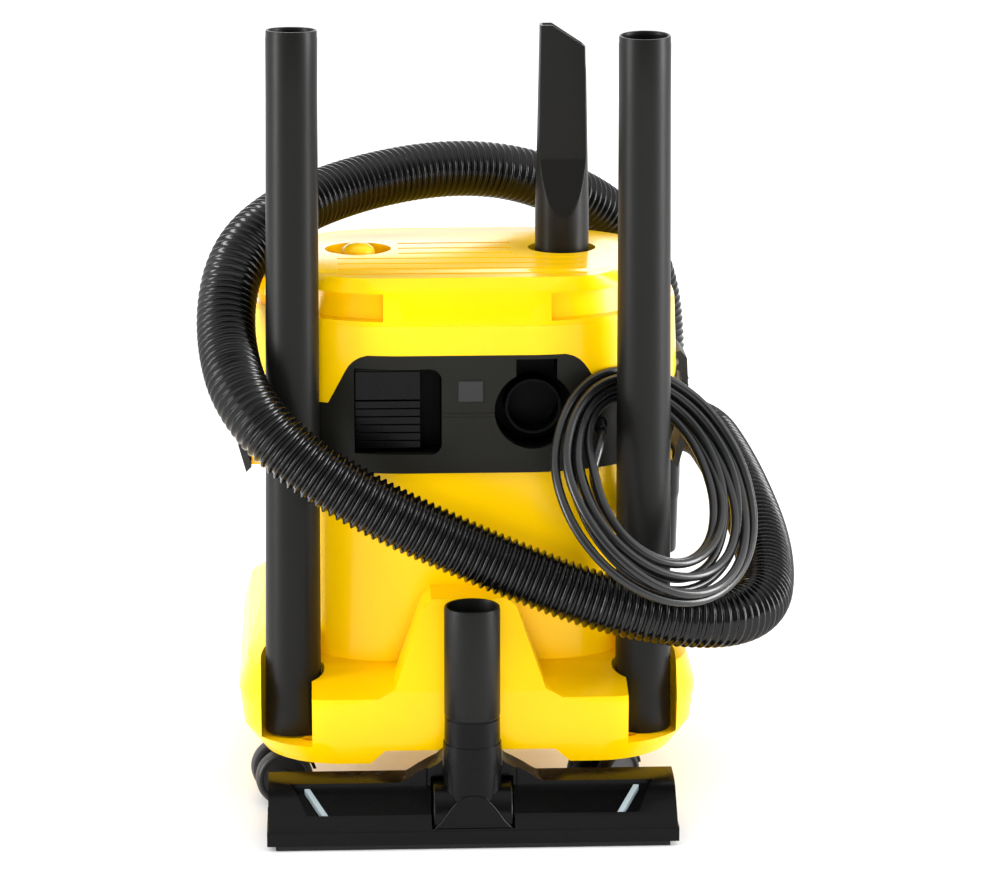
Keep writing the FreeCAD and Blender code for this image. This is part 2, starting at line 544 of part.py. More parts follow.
def make_motor():
    plate = tank_outline("plate_blank", "0.5", "plate_bottom", "plate_bottom + plate_thick")
    suction = cylinder("plate_hole", "0", "motor_depth", "plate_bottom - 2", "30", "10")
    keep(cut("plate_done", plate, suction), "head_base")
    ring = cut("mount_ring", cylinder("mount_outer", "0", "motor_depth", "plate_bottom + plate_thick",
                                      "motor_width / 2 + 3", "motor_foot - plate_bottom - plate_thick"),
               cylinder("mount_inner", "0", "motor_depth", "plate_bottom", "34", "20"))
    keep(ring, "motor_mount")
    can = cylinder("motor_can", "0", "motor_depth", "motor_foot", "motor_width / 2",
                   "motor_top - motor_foot")
    fan_space = cylinder("fan_space", "0", "motor_depth", "motor_foot - 1", "motor_width / 2 - 4", "19")
    shaft_bore = cylinder("shaft_bore", "0", "motor_depth", "motor_foot", "4 + running_gap", "60")
    keep(cut("motor_done", can, fan_space, shaft_bore), "motor")
    hub = cylinder("fan_hub", "0", "motor_depth", "motor_foot + 2", "7", "13")
    disc = cylinder("fan_disc", "0", "motor_depth", "motor_foot + 13", "motor_width / 2 - 6", "2")
    eye = cut("fan_eye", cylinder("fan_eye_outer", "0", "motor_depth", "motor_foot + 2",
                                  "motor_width / 2 - 6", "1.5"),
              cylinder("fan_eye_hole", "0", "motor_depth", "motor_foot", "20", "6"))
    blades = []
    for number in range(7):
        blade = doc.addObject("Part::Box", f"fan_blade_{number}")
        turn = 360 / 7 * number
        blade.Placement = Placement(Vector(6 * math.cos(math.radians(turn)), value("motor_depth")
                                           + 6 * math.sin(math.radians(turn)), 0),
                                    Rotation(Vector(0, 0, 1), turn))
        blades.append(bind(blade, Length="motor_width / 2 - 13", Width="1.2", Height="11.5",
                           Placement__Base__z="motor_foot + 2.5"))
    axle = cylinder("fan_shaft", "0", "motor_depth", "motor_foot + 2", "4", "50")
    keep(fuse("fan_done", hub, disc, eye, axle, *blades), "fan_impeller")


def make_filter():
    depth, top = "motor_depth", value("plate_bottom")
    basket = cut("basket_wall", cylinder("basket_outer", "0", depth, "190", "42", "plate_bottom - 190"),
                 cylinder("basket_inner", "0", depth, "193", "39", "80"))
    slots = []
    for number in range(6):
        slot = doc.addObject("Part::Box", f"basket_slot_{number}")
        slot.Placement = Placement(Vector(0, value(depth), 0), Rotation(Vector(0, 0, 1), 30 + 60 * number))
        slots.append(bind(slot, Length="60", Width="12", Height="44", Placement__Base__z="200"))
    keep(cut("basket_done", basket, *slots), "filter_basket")
    ball = doc.addObject("Part::Sphere", "ball")
    keep(bind(ball, Radius="17", Placement__Base__y=depth, Placement__Base__z="210.2"), "float_ball")
    teeth = 36
    outline = []
    for step in range(2 * teeth):
        radius = 72 if step % 2 else 60
        angle = math.pi * step / teeth
        outline.append(Vector(radius * math.cos(angle), value(depth) + radius * math.sin(angle), 178))
    pleats = Part.Face(Part.makePolygon(outline + outline[:1])).extrude(Vector(0, 0, top - 182))
    pleats = pleats.cut(Part.makeCylinder(56, 200, Vector(0, value(depth), 100)))
    paper = doc.addObject("Part::Feature", "pleats")
    paper.Shape = pleats
    keep(paper, "filter_cartridge")
    cap = cylinder("cap_plate", "0", depth, "172", "74", "6")
    socket = cut("cap_socket", cylinder("cap_rim", "0", depth, "178", "48", "12"),
                 cylinder("cap_rim_hole", "0", depth, "176", "42.2", "20"))
    keep(fuse("cap_done", cap, socket), "filter_cap")
    keep(cut("filter_top", cylinder("filter_top_outer", "0", depth, "plate_bottom - 4", "74", "4"),
             cylinder("filter_top_hole", "0", depth, "200", "42.2", "80")), "filter_end_ring")


# ---- parked tools ----

PIPE_LEAN = {"left": (-1.3, 0.5), "right": (2.7, -0.5)}


def make_pipes():
    foot, top, wall = value("pipe_foot_width") / 2, value("pipe_top_width") / 2, value("pipe_wall")
    length = value("pipe_length")
    for side, sign in SIDES:
        body = turned(f"pipe_{side}_turned", "0", "0",
                      [(foot - wall, 0), (foot, 0), (top, length), (top - wall, length)])
        lean, inward = PIPE_LEAN[side]
        body.setExpression("Placement.Base.x", None)
        body.setExpression("Placement.Base.y", None)
        body.Placement = Placement(Vector(), Rotation(Vector(0, 1, 0), inward) * Rotation(Vector(1, 0, 0), lean))
        bind(body, Placement__Base__x=f"{sign} * pipe_side", Placement__Base__y="-pipe_back",
             Placement__Base__z="pipe_foot + 1.2")
        keep(body, f"suction_pipe_{side}")


def make_crevice_tool():
    radius = value("crevice_width") / 2
    foot, top = value("crevice_foot"), value("crevice_top")
    lid = value("lid_top")
    barrel = Part.makeCylinder(radius, lid + 40 - foot, Vector(0, 0, foot))
    blade_top = Part.Face(Part.makePolygon([Vector(x, y, top) for x, y in
                          ((-15.5, -4), (15.5, -4), (15.5, 8), (-15.5, 8), (-15.5, -4))]))
    blade_low = Part.makePolygon([Vector(x, y, lid + 40) for x, y in
                                 ((-19.4, -9), (19.4, -9), (17, 9.5), (-17, 9.5), (-19.4, -9))])
    blade = Part.makeLoft([blade_low, blade_top.OuterWire], True, True)
    tool = barrel.fuse(blade)
    scoop = Part.Face(Part.makePolygon([Vector(0, y, z) for y, z in
                      ((-30, lid + 26), (-17, lid + 26), (-8.5, lid + 48), (-8.5, lid + 60), (-30, lid + 60),
                       (-30, lid + 26))]))
    tool = tool.cut(scoop.extrude(Vector(40, 0, 0)).fuse(scoop.extrude(Vector(-40, 0, 0))))
    tip = Part.Face(Part.makePolygon([Vector(x, -20, z) for x, z in
                    ((-6, top + 0.1), (-6, top), (20, top - 15), (20, top + 5), (-6, top + 5), (-6, top + 0.1))]))
    tool = tool.cut(tip.extrude(Vector(0, 40, 0)))
    bore = Part.makeCylinder(radius - 2, 80, Vector(0, 0, foot - 1))
    duct = Part.makeBox(26, 8, top - foot, Vector(-13, -2.5, foot + 40))
    tool = tool.cut([bore, duct])
    piece = doc.addObject("Part::Feature", "crevice_shape")
    piece.Shape = tool.removeSplitter()
    bind(piece, Placement__Base__x="tool_side", Placement__Base__y="tool_depth")
    keep(piece, "crevice_tool")


def make_nozzle():
    half, back, front = value("nozzle_width") / 2, value("nozzle_back"), value("nozzle_front")
    tall, lip = value("nozzle_height"), value("nozzle_lip")
    profile = [(-back, 4), (-back, lip), (-back + 8, lip + 8), (-back + 22, tall - 2), (-back + 26, tall),
               (-front, tall), (-front, 4)]
    hull = prism("nozzle_hull", "YZ_Plane", profile, f"-{half}", "nozzle_width")
    slot = box("nozzle_slot", "-nozzle_width / 2 + 8", "-nozzle_back + 20", "2", "nozzle_width - 16", "24", "16")
    hub_bore = cylinder("nozzle_hub_space", "-24", "-neck_back", "nozzle_height - 14", "20.3", "48", "x")
    throat = cylinder("nozzle_throat", "0", "-neck_back", "10", "12", "40")
    neck_clear = cylinder("neck_clear", "0", "-neck_back", "nozzle_height - 14", "neck_width / 2 + 0.4", "30")
    keep(cut("nozzle_done", hull, slot, hub_bore, throat, neck_clear), "nozzle_body")
    pivot = value("nozzle_height") - 14
    hub = Part.makeCylinder(20.2, 47.2, Vector(-23.6, 0, pivot), Vector(1, 0, 0))
    socket = Part.makeCone(18.5, value("neck_width") / 2, value("neck_ring") - pivot, Vector(0, 0, pivot))
    neck = hub.fuse(socket)
    duct = Part.makeCylinder(14, 200, Vector(0, 0, pivot))
    spigot = Part.makeCylinder(18.3, 30, Vector(0, 0, value("neck_ring")))
    spigot_bore = Part.makeCylinder(17.3, 31, Vector(0, 0, value("neck_ring")))
    neck = neck.fuse(spigot).cut([duct, spigot_bore])
    piece = doc.addObject("Part::Feature", "neck_shape")
    piece.Shape = neck.removeSplitter()
    bind(piece, Placement__Base__y="-neck_back")
    keep(piece, "nozzle_neck")
    sleeve = cut("sleeve_cut", cylinder("sleeve_outer", "0", "-neck_back", "neck_ring", "neck_width / 2",
                                        "neck_top - neck_ring"),
                 cylinder("sleeve_inner", "0", "-neck_back", "neck_ring + 20", "17.25", "120"),
                 cylinder("sleeve_socket", "0", "-neck_back", "neck_ring - 1", "18.35", "31.1"))
    keep(sleeve, "nozzle_sleeve")
    for label, y in (("nozzle_front_lip", "-nozzle_front - 5.5"), ("nozzle_rear_lip", "-nozzle_back + 2.5")):
        keep(box(label + "_strip", "-nozzle_width / 2 + 6", y, "0", "nozzle_width - 12", "3", "4"), label)
    windows = [box(f"window_{side}", f"{sign} * 77 - 46", "-nozzle_front - 24", "nozzle_height", "92", "16", "1.2")
               for side, sign in SIDES]
    keep(fuse("nozzle_windows", *windows), "nozzle_trim")


# ---- hose and mains cord ----

HOSE_ROUTE = [(52, 186, 200), (116, 186, 200), (186, 152, 224), (206, 58, 204), (222, -42, 164),
              (204, -142, 144), (112, -174, 159), (6, -168, 200), (-96, -170, 252), (-156, -148, 300),
              (-172, -84, 344), (-163, -46, 391), (-128, 2, 414), (-70, 64, 425), (0, 104, 429),
              (62, 130, 416), (130, 184, 372), (163, 222, 306), (162, 223, 238)]
LEAD_ROUTE = [(92, -104, 280), (92, -134, 280), (90, -155, 270), (78, -170, 259)]
TAIL_ROUTE = [(119, -90, 296), (121, -89, 268), (124, -84, 241)]


def rounded_route(points, sizes=0.45):
    """The route's straight runs joined by tangent arcs. Gives its wire and prints its tightest radius."""
    route = [Vector(*point) for point in points]
    edges, start, tightest = [], route[0], None
    for before, here, after in zip(route, route[1:], route[2:]):
        back, ahead = here - before, after - here
        turn = back.getAngle(ahead)
        reach = sizes * min(back.Length, ahead.Length)
        radius = reach / math.tan(turn / 2)
        tightest = min(radius, tightest or radius)
        inward = (ahead.normalize() - back.normalize()).normalize()
        enter, leave = here - back * reach, here + ahead * reach
        middle = here + inward * (radius / math.cos(turn / 2) - radius)
        edges.append(Part.LineSegment(start, enter).toShape())
        edges.append(Part.Arc(enter, middle, leave).toShape())
        start = leave
    edges.append(Part.LineSegment(start, route[-1]).toShape())
    print("route length", round(sum(edge.Length for edge in edges)), "tightest radius", round(tightest))
    return Part.Wire(edges)


def cord_tube(label, points, width):
    wire = rounded_route(points)
    first = Vector(*points[1]) - Vector(*points[0])
    circle = Part.Wire(Part.Circle(Vector(*points[0]), first, width / 2).toShape())
    tube = wire.makePipeShell([circle], True, False)
    share = tube.Volume / (math.pi * width ** 2 / 4 * wire.Length)
    print(label, "volume over section times length", round(share, 3))
    piece = doc.addObject("Part::Feature", label + "_tube")
    piece.Shape = tube
    keep(piece, label)


def cuff(label, start, along, stages):
    """Rings one after another along a line, each given as radius and length, with a bore for the hose."""
    along = Vector(*along).normalize()
    place, solid = Vector(*start), None
    for radius, length in stages:
        ring = Part.makeCylinder(radius, length, place, along)
        solid = solid.fuse(ring) if solid else ring
        place = place + along * length
    bore = Part.makeCylinder(16, sum(length for _, length in stages) + 2, Vector(*start) - along, along)
    piece = doc.addObject("Part::Feature", label + "_shape")
    piece.Shape = solid.cut(bore).removeSplitter()
    keep(piece, label)


def make_hose():
    cord_tube("hose_tube", HOSE_ROUTE, value("hose_width"))
    cuff("hose_cuff", (32, 186, 200), (1, 0, 0), ((21.5, 20),))
    cuff("hose_handle", HOSE_ROUTE[-1], (-1, 1, -68), ((22, 34), (19.5, 60), (18.2, 46)))


COIL_MIDDLE = Vector(131, -149.7, 240)
COIL_TALL = Vector(-10, 57, 60)
COIL_WIDE = Vector(60, 28, -16.6)
COIL_THICK = 5.8


def make_cord():
    gland = cut("gland_body", cylinder("gland_outer", "gland_side", "-104", "gland_height", "5.2", "24", "y"),
                cylinder("gland_bore", "gland_side", "-110", "gland_height", "cord_width / 2 - 0.5", "60", "y"))
    keep(gland, "cord_gland")
    cord_tube("cord_lead", LEAD_ROUTE, value("cord_width"))
    cord_tube("cord_tail", TAIL_ROUTE, value("cord_width"))
    ellipse = Part.Ellipse(COIL_MIDDLE + COIL_TALL, COIL_MIDDLE + COIL_WIDE, COIL_MIDDLE)
    line = Part.Wire(ellipse.toShape())
    start = ellipse.value(0)
    circle = Part.Wire(Part.Circle(start, ellipse.tangent(0)[0], COIL_THICK).toShape())
    coil = doc.addObject("Part::Feature", "coil_shape")
    coil.Shape = line.makePipeShell([circle], True, False)
    keep(coil, "cord_coil")
    foot = Vector(*TAIL_ROUTE[-1])
    plug = Part.makeCone(7, 11.5, 12, foot, Vector(0, 0, -1))
    plug = plug.fuse(Part.makeCylinder(11.5, 22, foot - Vector(0, 0, 12), Vector(0, 0, -1)))
    for sign in (-1, 1):
        plug = plug.fuse(Part.makeCylinder(2, 19, foot + Vector(sign * 6.5, 0, -34), Vector(0, 0, -1)))
    piece = doc.addObject("Part::Feature", "plug_shape")
    piece.Shape = plug.removeSplitter()
    keep(piece, "cord_plug")


def main():
    make_chassis()
    make_screws()
    make_tank()
    make_inlet()
    make_castors()
    make_head()
    make_cover()
    make_knob()
    make_handle()
    make_latches()
    make_motor()
    make_filter()
    make_pipes()
    make_crevice_tool()
    make_nozzle()
    make_hose()
    make_cord()
    doc.recompute()
    os.makedirs("parts", exist_ok=True)
    for thing in doc.Objects:
        if "Invalid" in thing.State or "Error" in thing.State:
            raise RuntimeError(f"{thing.Label} {thing.State}")
    low, high = Vector(1e9, 1e9, 1e9), Vector(-1e9, -1e9, -1e9)
    for piece in NODES:
        shape = piece.Shape
        if shape.isNull() or not shape.isValid() or not shape.Solids:
            raise RuntimeError(f"{piece.Label} has no valid solid")
        print(piece.Label, len(shape.Solids), [round(c) for c in (
            shape.BoundBox.XMin, shape.BoundBox.XMax, shape.BoundBox.YMin, shape.BoundBox.YMax,
            shape.BoundBox.ZMin, shape.BoundBox.ZMax)], round(shape.Volume / 1000, 1), "cm3")
        shape.exportStep(f"parts/{piece.Label}.step")


main()
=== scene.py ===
"""Builds the looks of a wheeled wet-and-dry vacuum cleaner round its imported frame.

Metres. +Z is up, the floor is z = 0, +Y is the front, and the tools are parked at the back, -Y.
"""
import json
from math import cos, pi, radians, sin

import bmesh
import bpy
from bpy.props import FloatProperty, FloatVectorProperty, IntProperty, PointerProperty
from mathutils import Matrix, Vector


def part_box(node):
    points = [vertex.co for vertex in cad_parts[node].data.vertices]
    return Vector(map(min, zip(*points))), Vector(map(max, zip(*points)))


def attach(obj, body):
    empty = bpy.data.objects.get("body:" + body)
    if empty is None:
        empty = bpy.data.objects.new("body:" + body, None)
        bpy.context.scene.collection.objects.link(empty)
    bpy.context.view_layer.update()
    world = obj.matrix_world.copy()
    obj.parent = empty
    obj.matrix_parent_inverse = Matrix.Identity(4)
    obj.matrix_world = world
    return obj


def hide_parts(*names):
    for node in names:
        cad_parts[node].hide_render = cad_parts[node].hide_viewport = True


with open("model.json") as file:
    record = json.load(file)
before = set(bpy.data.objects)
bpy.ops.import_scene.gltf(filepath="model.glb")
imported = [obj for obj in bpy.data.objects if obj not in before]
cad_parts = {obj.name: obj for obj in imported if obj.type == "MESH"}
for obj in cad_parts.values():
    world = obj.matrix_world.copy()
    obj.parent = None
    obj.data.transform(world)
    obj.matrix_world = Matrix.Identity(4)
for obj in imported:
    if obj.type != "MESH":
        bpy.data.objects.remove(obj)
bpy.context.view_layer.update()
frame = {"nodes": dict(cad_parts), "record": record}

bl_info = {
    "name": "Wet and Dry Vacuum Cleaner",
    "version": (1, 0, 0),
    "blender": (4, 5, 0),
    "location": "View3D > Sidebar > Vacuum",
    "description": "Makes the shell, hose, mains cord and parked tools of a wheeled vacuum cleaner",
    "category": "Object",
}

MM = 0.001
TUBE_FOOT = 59.2


# ---- sizes and colours that a user may change ----

def length(name, description, default):
    return FloatProperty(name=name, description=description, default=default, min=0.0, unit="LENGTH")


def colour(name, description, default):
    return FloatVectorProperty(name=name, description=description, default=default, size=3,
                               min=0.0, max=1.0, subtype="COLOR")


class VacuumSizes(bpy.types.PropertyGroup):
    edge: length("Edge round", "Radius of the moulded edges of the shell", 0.0012)
    hose: length("Hose width", "Outside diameter of the suction hose", 0.042)
    pitch: length("Hose pitch", "Distance from one corrugation to the next", 0.0054)
    rib: length("Hose rib", "Depth of the corrugations", 0.0026)
    cord: length("Cord width", "Diameter of the mains cord", 0.0064)
    turns: IntProperty(name="Coil turns", description="Turns of the mains cord coil", default=7, min=1, max=9)
    grip_rib: length("Grip rib", "Height of the ribs on the latches", 0.0009)
    slat: length("Slat gap", "Distance between the slats of the air outlet", 0.0058)


class VacuumColours(bpy.types.PropertyGroup):
    shell: colour("Shell", "Glossy moulded shell", (1.0, 0.6, 0.0))
    panel: colour("Panel", "Charcoal rear panel", (0.0125, 0.0123, 0.0095))
    dark: colour("Black", "Satin black mouldings", (0.0022, 0.0022, 0.0024))
    tube: colour("Tube", "Suction tubes and crevice tool", (0.0065, 0.0065, 0.006))
    cord: colour("Cord", "Sheath of the mains cord", (0.0065, 0.0067, 0.0072))
    grip: colour("Grip", "Latches and wheels", (0.018, 0.0185, 0.02))
    strip: colour("Strip", "Pale strips on the floor nozzle", (0.33, 0.4, 0.43))


# ---- finishes ----

def tree_of(name):
    material = bpy.data.materials.new(name)
    material.use_nodes = True
    tree = material.node_tree
    return material, tree, tree.nodes["Principled BSDF"]


def noise(tree, where, scale, detail, stretch=None):
    node = tree.nodes.new("ShaderNodeTexNoise")
    node.inputs["Scale"].default_value = scale
    node.inputs["Detail"].default_value = detail
    if stretch:
        mapping = tree.nodes.new("ShaderNodeMapping")
        mapping.inputs["Scale"].default_value = stretch
        tree.links.new(where.outputs["Object"], mapping.inputs["Vector"])
        tree.links.new(mapping.outputs["Vector"], node.inputs["Vector"])
    else:
        tree.links.new(where.outputs["Object"], node.inputs["Vector"])
    return node


def moulded_finish(name, tone, drift=0.92, rough=(0.2, 0.3), grain=900.0, depth=0.00002, coat=0.0,
                   gloss=0.5, metal=0.0, stretch=None, sheen=0.0):
    """Moulded plastic, rubber or metal: mottled colour, uneven roughness and a fine surface grain."""
    material, tree, shader = tree_of(name)
    where = tree.nodes.new("ShaderNodeTexCoord")
    mottle = noise(tree, where, 14.0, 4.0, stretch)
    ramp = tree.nodes.new("ShaderNodeValToRGB")
    ramp.color_ramp.elements[0].position = 0.3
    ramp.color_ramp.elements[0].color = (*[c * drift for c in tone], 1)
    ramp.color_ramp.elements[1].position = 0.7
    ramp.color_ramp.elements[1].color = (*tone, 1)
    tree.links.new(mottle.outputs["Fac"], ramp.inputs["Fac"])
    tree.links.new(ramp.outputs["Color"], shader.inputs["Base Color"])
    smear = noise(tree, where, 60.0, 3.0, stretch)
    spread = tree.nodes.new("ShaderNodeMapRange")
    spread.inputs["To Min"].default_value, spread.inputs["To Max"].default_value = rough
    tree.links.new(smear.outputs["Fac"], spread.inputs["Value"])
    tree.links.new(spread.outputs["Result"], shader.inputs["Roughness"])
    skin = noise(tree, where, grain, 2.0, stretch)
    bump = tree.nodes.new("ShaderNodeBump")
    bump.inputs["Strength"].default_value = 0.6
    bump.inputs["Distance"].default_value = depth
    tree.links.new(skin.outputs["Fac"], bump.inputs["Height"])
    tree.links.new(bump.outputs["Normal"], shader.inputs["Normal"])
    shader.inputs["Metallic"].default_value = metal
    shader.inputs["Specular IOR Level"].default_value = gloss
    shader.inputs["Coat Weight"].default_value = coat
    shader.inputs["Coat Roughness"].default_value = 0.06
    shader.inputs["Sheen Weight"].default_value = sheen
    return material


FINISHES = {}


def make_finishes(tones):
    FINISHES.update({
        "yellow_plastic": moulded_finish("glossy_yellow_moulding", tones.shell, 0.985, (0.2, 0.27), 420.0,
                                         0.00001, coat=0.06, gloss=0.26),
        "panel_plastic": moulded_finish("charcoal_panel_moulding", tones.panel, 0.85, (0.36, 0.46), 2600.0,
                                        0.00003, gloss=0.15),
        "black_plastic": moulded_finish("satin_black_moulding", tones.dark, 0.7, (0.2, 0.32), 1500.0, 0.00001,
                                        coat=0.04, gloss=0.13),
        "pipe_plastic": moulded_finish("drawn_tube_plastic", tones.tube, 0.85, (0.34, 0.44), 1800.0, 0.00002,
                                       stretch=(1, 1, 0.35), gloss=0.2),
        "hose_plastic": moulded_finish("corrugated_hose_plastic", tones.dark, 0.75, (0.14, 0.24), 700.0,
                                       0.00002, coat=0.08, gloss=0.3),
        "cord_rubber": moulded_finish("cord_sheath", tones.cord, 0.85, (0.24, 0.34), 1600.0, 0.00001, coat=0.15,
                                      gloss=0.5),
        "grip_grey": moulded_finish("grip_plastic", tones.grip, 0.8, (0.4, 0.52), 2200.0, 0.00004, gloss=0.45),
        "steel": moulded_finish("bright_steel", (0.62, 0.62, 0.64), 0.85, (0.2, 0.34), 1400.0, 0.00001,
                                metal=1.0, stretch=(1, 1, 0.1)),
        "soft_rubber": moulded_finish("soft_rubber", (0.012, 0.012, 0.012), 0.7, (0.6, 0.75), 1200.0, 0.00004,
                                      gloss=0.3, sheen=0.1),
        # Extra dark, dull black painted into openings: painted shade inside the blower socket and behind the outlet
        # slats, where the black plastic falls into shadow.
        "deep_black": moulded_finish("deep_black_recess", (0.0015, 0.0015, 0.0016), 0.7, (0.45, 0.6), 1500.0,
                                     0.00002, gloss=0.12),
        "strip_grey": moulded_finish("pale_strip", tones.strip, 0.85, (0.4, 0.5), 1500.0, 0.00002),
        "paper": moulded_finish("filter_paper", (0.82, 0.76, 0.62), 0.85, (0.8, 0.92), 1100.0, 0.00008,
                                gloss=0.2, sheen=0.2),
        "white_plastic": moulded_finish("white_moulding", (0.8, 0.8, 0.78), 0.95, (0.35, 0.45), 1300.0, 0.00002),
    })


# ---- making and joining shapes ----

def link(name, mesh):
    thing = bpy.data.objects.new(name, mesh)
    bpy.context.scene.collection.objects.link(thing)
    return thing


def mesh_of(name, bm):
    mesh = bpy.data.meshes.new(name)
    bm.to_mesh(mesh)
    bm.free()
    return mesh


def prism(points, axis, start, end):
    """A closed prism: points lie across the axis (x, y or z) in millimetres, in the order of the other two."""
    bm = bmesh.new()
    rings = []
    for level in (start, end):
        ring = []
        for a, b in points:
            place = {"x": (level, a, b), "y": (a, level, b), "z": (a, b, level)}[axis]
            ring.append(bm.verts.new(Vector(place) * MM))
        rings.append(ring)
    count = len(points)
    for i in range(count):
        j = (i + 1) % count
        bm.faces.new((rings[0][i], rings[0][j], rings[1][j], rings[1][i]))
    bm.faces.new(rings[0][::-1])
    bm.faces.new(rings[1])
    bmesh.ops.recalc_face_normals(bm, faces=bm.faces)
    return mesh_of("cutter", bm)


def turned(outline, sides=64, place=Matrix()):
    """A closed shape turned about its own z from (radius, height) points in millimetres."""
    bm = bmesh.new()
    rings = []
    for radius, height in outline:
        if radius < 1e-6:
            rings.append([bm.verts.new((0, 0, height * MM))])
        else:
            rings.append([bm.verts.new((radius * cos(2 * pi * k / sides) * MM,
                                        radius * sin(2 * pi * k / sides) * MM, height * MM))
                          for k in range(sides)])
    loops = list(zip(rings, rings[1:]))
    if outline[0][0] > 1e-6 and outline[-1][0] > 1e-6:
        loops.append((rings[-1], rings[0]))
    for low, high in loops:
        for k in range(sides):
            n = (k + 1) % sides
            face = [low[k], low[n], high[n], high[k]] if len(low) > 1 and len(high) > 1 else (
                [low[0], high[n], high[k]] if len(low) == 1 else [low[k], low[n], high[0]])
            bm.faces.new(face)
    bmesh.ops.recalc_face_normals(bm, faces=bm.faces)
    bm.transform(place)
    mesh = mesh_of("turned", bm)
    mesh.shade_smooth()
    mesh.set_sharp_from_angle(angle=radians(40))
    return mesh


def copy_of_node(node):
    """The frame's mesh for a node, with its triangles joined into clean faces."""
    bm = bmesh.new()
    bm.from_mesh(frame["nodes"][node].data)
    bmesh.ops.remove_doubles(bm, verts=bm.verts, dist=0.000002)
    bmesh.ops.dissolve_limit(bm, angle_limit=radians(0.6), verts=bm.verts, edges=bm.edges)
    mesh = mesh_of(node, bm)
    for attribute in [a for a in mesh.attributes if a.name.startswith("custom_normal")]:
        mesh.attributes.remove(attribute)
    return mesh


def settled(thing):
    """Applies a shape's modifiers to a plain mesh."""
    graph = bpy.context.evaluated_depsgraph_get()
    mesh = bpy.data.meshes.new_from_object(thing.evaluated_get(graph))
    thing.modifiers.clear()
    thing.data = mesh
    return thing


def shaped(mesh, *steps):
    """Adds and cuts meshes in turn: each step is an operation and a mesh."""
    thing = link("shape", mesh)
    for operation, other in steps:
        tool = link("tool", other)
        modifier = thing.modifiers.new(operation, "BOOLEAN")
        modifier.operation = operation
        modifier.solver = "EXACT"
        modifier.object = tool
        settled(thing)
        bpy.data.objects.remove(tool)
    mesh = thing.data
    bpy.data.objects.remove(thing)
    return mesh


def rounded(mesh, width, segments=2, angle=32):
    """Rounds the edges sharper than an angle and gives the faces smooth, true normals."""
    thing = link("shape", mesh)
    mesh.shade_smooth()
    modifier = thing.modifiers.new("edges", "BEVEL")
    modifier.width = width
    modifier.segments = segments
    modifier.limit_method = "ANGLE"
    modifier.angle_limit = radians(angle)
    modifier.harden_normals = True
    settled(thing)
    mesh = thing.data
    bpy.data.objects.remove(thing)
    return mesh


def stand(name, mesh, body, slot, *nodes, finish=None):
    """Makes a finished piece of a mesh, riding on a body and standing for nodes of the frame."""
    mesh.name = name
    mesh.materials.clear()
    mesh.materials.append(FINISHES[finish or slot])
    for polygon in mesh.polygons:
        polygon.material_index = 0
    piece = link(name, mesh)
    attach(piece, body)
    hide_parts(*nodes)
    return piece


def repaint(*nodes):
    """Gives nodes of the frame, whose shape is kept, their own finish."""
    slots = {name: m["slot"] for m in frame["record"]["materials"] for name in m.get("nodes", [])}
    for node in nodes:
        thing = frame["nodes"][node]
        for index, old in enumerate(thing.data.materials):
            thing.data.materials[index] = FINISHES[slots.get(node) or old.name.split(".")[0]]


def spline(name, points):
    """An open smooth spline with the given points, in metres, as its control points."""
    curve = bpy.data.curves.new(name, "CURVE")
    curve.dimensions = "3D"
    curve.resolution_u = 24
    line = curve.splines.new("NURBS")
    line.points.add(len(points) - 1)
    for point, place in zip(line.points, points):
        point.co = (*place, 1)
    line.order_u = 3
    line.use_endpoint_u = True
    return link(name, curve)


def line_of(curve):
    """The points along a spline that has no bevel."""
    graph = bpy.context.evaluated_depsgraph_get()
    mesh = bpy.data.meshes.new_from_object(curve.evaluated_get(graph))
    return [vertex.co.copy() for vertex in mesh.vertices]


# ---- node trees for what repeats ----

class Tree:
    """A geometry node tree with named inputs."""

    def __init__(self, name, **inputs):
        self.tree = bpy.data.node_groups.new(name, "GeometryNodeTree")
        self.tree.interface.new_socket("Geometry", in_out="INPUT", socket_type="NodeSocketGeometry")
        self.sockets = {}
        for label, kind in inputs.items():
            self.sockets[label] = self.tree.interface.new_socket(label, in_out="INPUT", socket_type=kind)
        self.tree.interface.new_socket("Geometry", in_out="OUTPUT", socket_type="NodeSocketGeometry")
        self.inputs = self.tree.nodes.new("NodeGroupInput").outputs
        self.end = self.tree.nodes.new("NodeGroupOutput").inputs[0]

    def add(self, kind, result=0, attributes=None, **inputs):
        node = self.tree.nodes.new(kind)
        for label, setting in (attributes or {}).items():
            setattr(node, label, setting)
        for label, source in inputs.items():
            socket = next(s for s in node.inputs if s.name.replace(" ", "_") == label and s.enabled)
            if isinstance(source, bpy.types.NodeSocket):
                self.tree.links.new(source, socket)
            else:
                socket.default_value = source
        return node.outputs[result]

    def math(self, operation, a, b=0.0):
        node = self.tree.nodes.new("ShaderNodeMath")
        node.operation = operation
        for socket, source in zip(node.inputs, (a, b)):
            if isinstance(source, bpy.types.NodeSocket):
                self.tree.links.new(source, socket)
            else:
                socket.default_value = source
        return node.outputs[0]

    def run(self, thing, **settings):
        """Applies the tree to an object and gives the plain mesh that results."""
        modifier = thing.modifiers.new("nodes", "NODES")
        modifier.node_group = self.tree
        for label, setting in settings.items():
            modifier[self.sockets[label].identifier] = setting
        graph = bpy.context.evaluated_depsgraph_get()
        mesh = bpy.data.meshes.new_from_object(thing.evaluated_get(graph))
        thing.modifiers.clear()
        return mesh


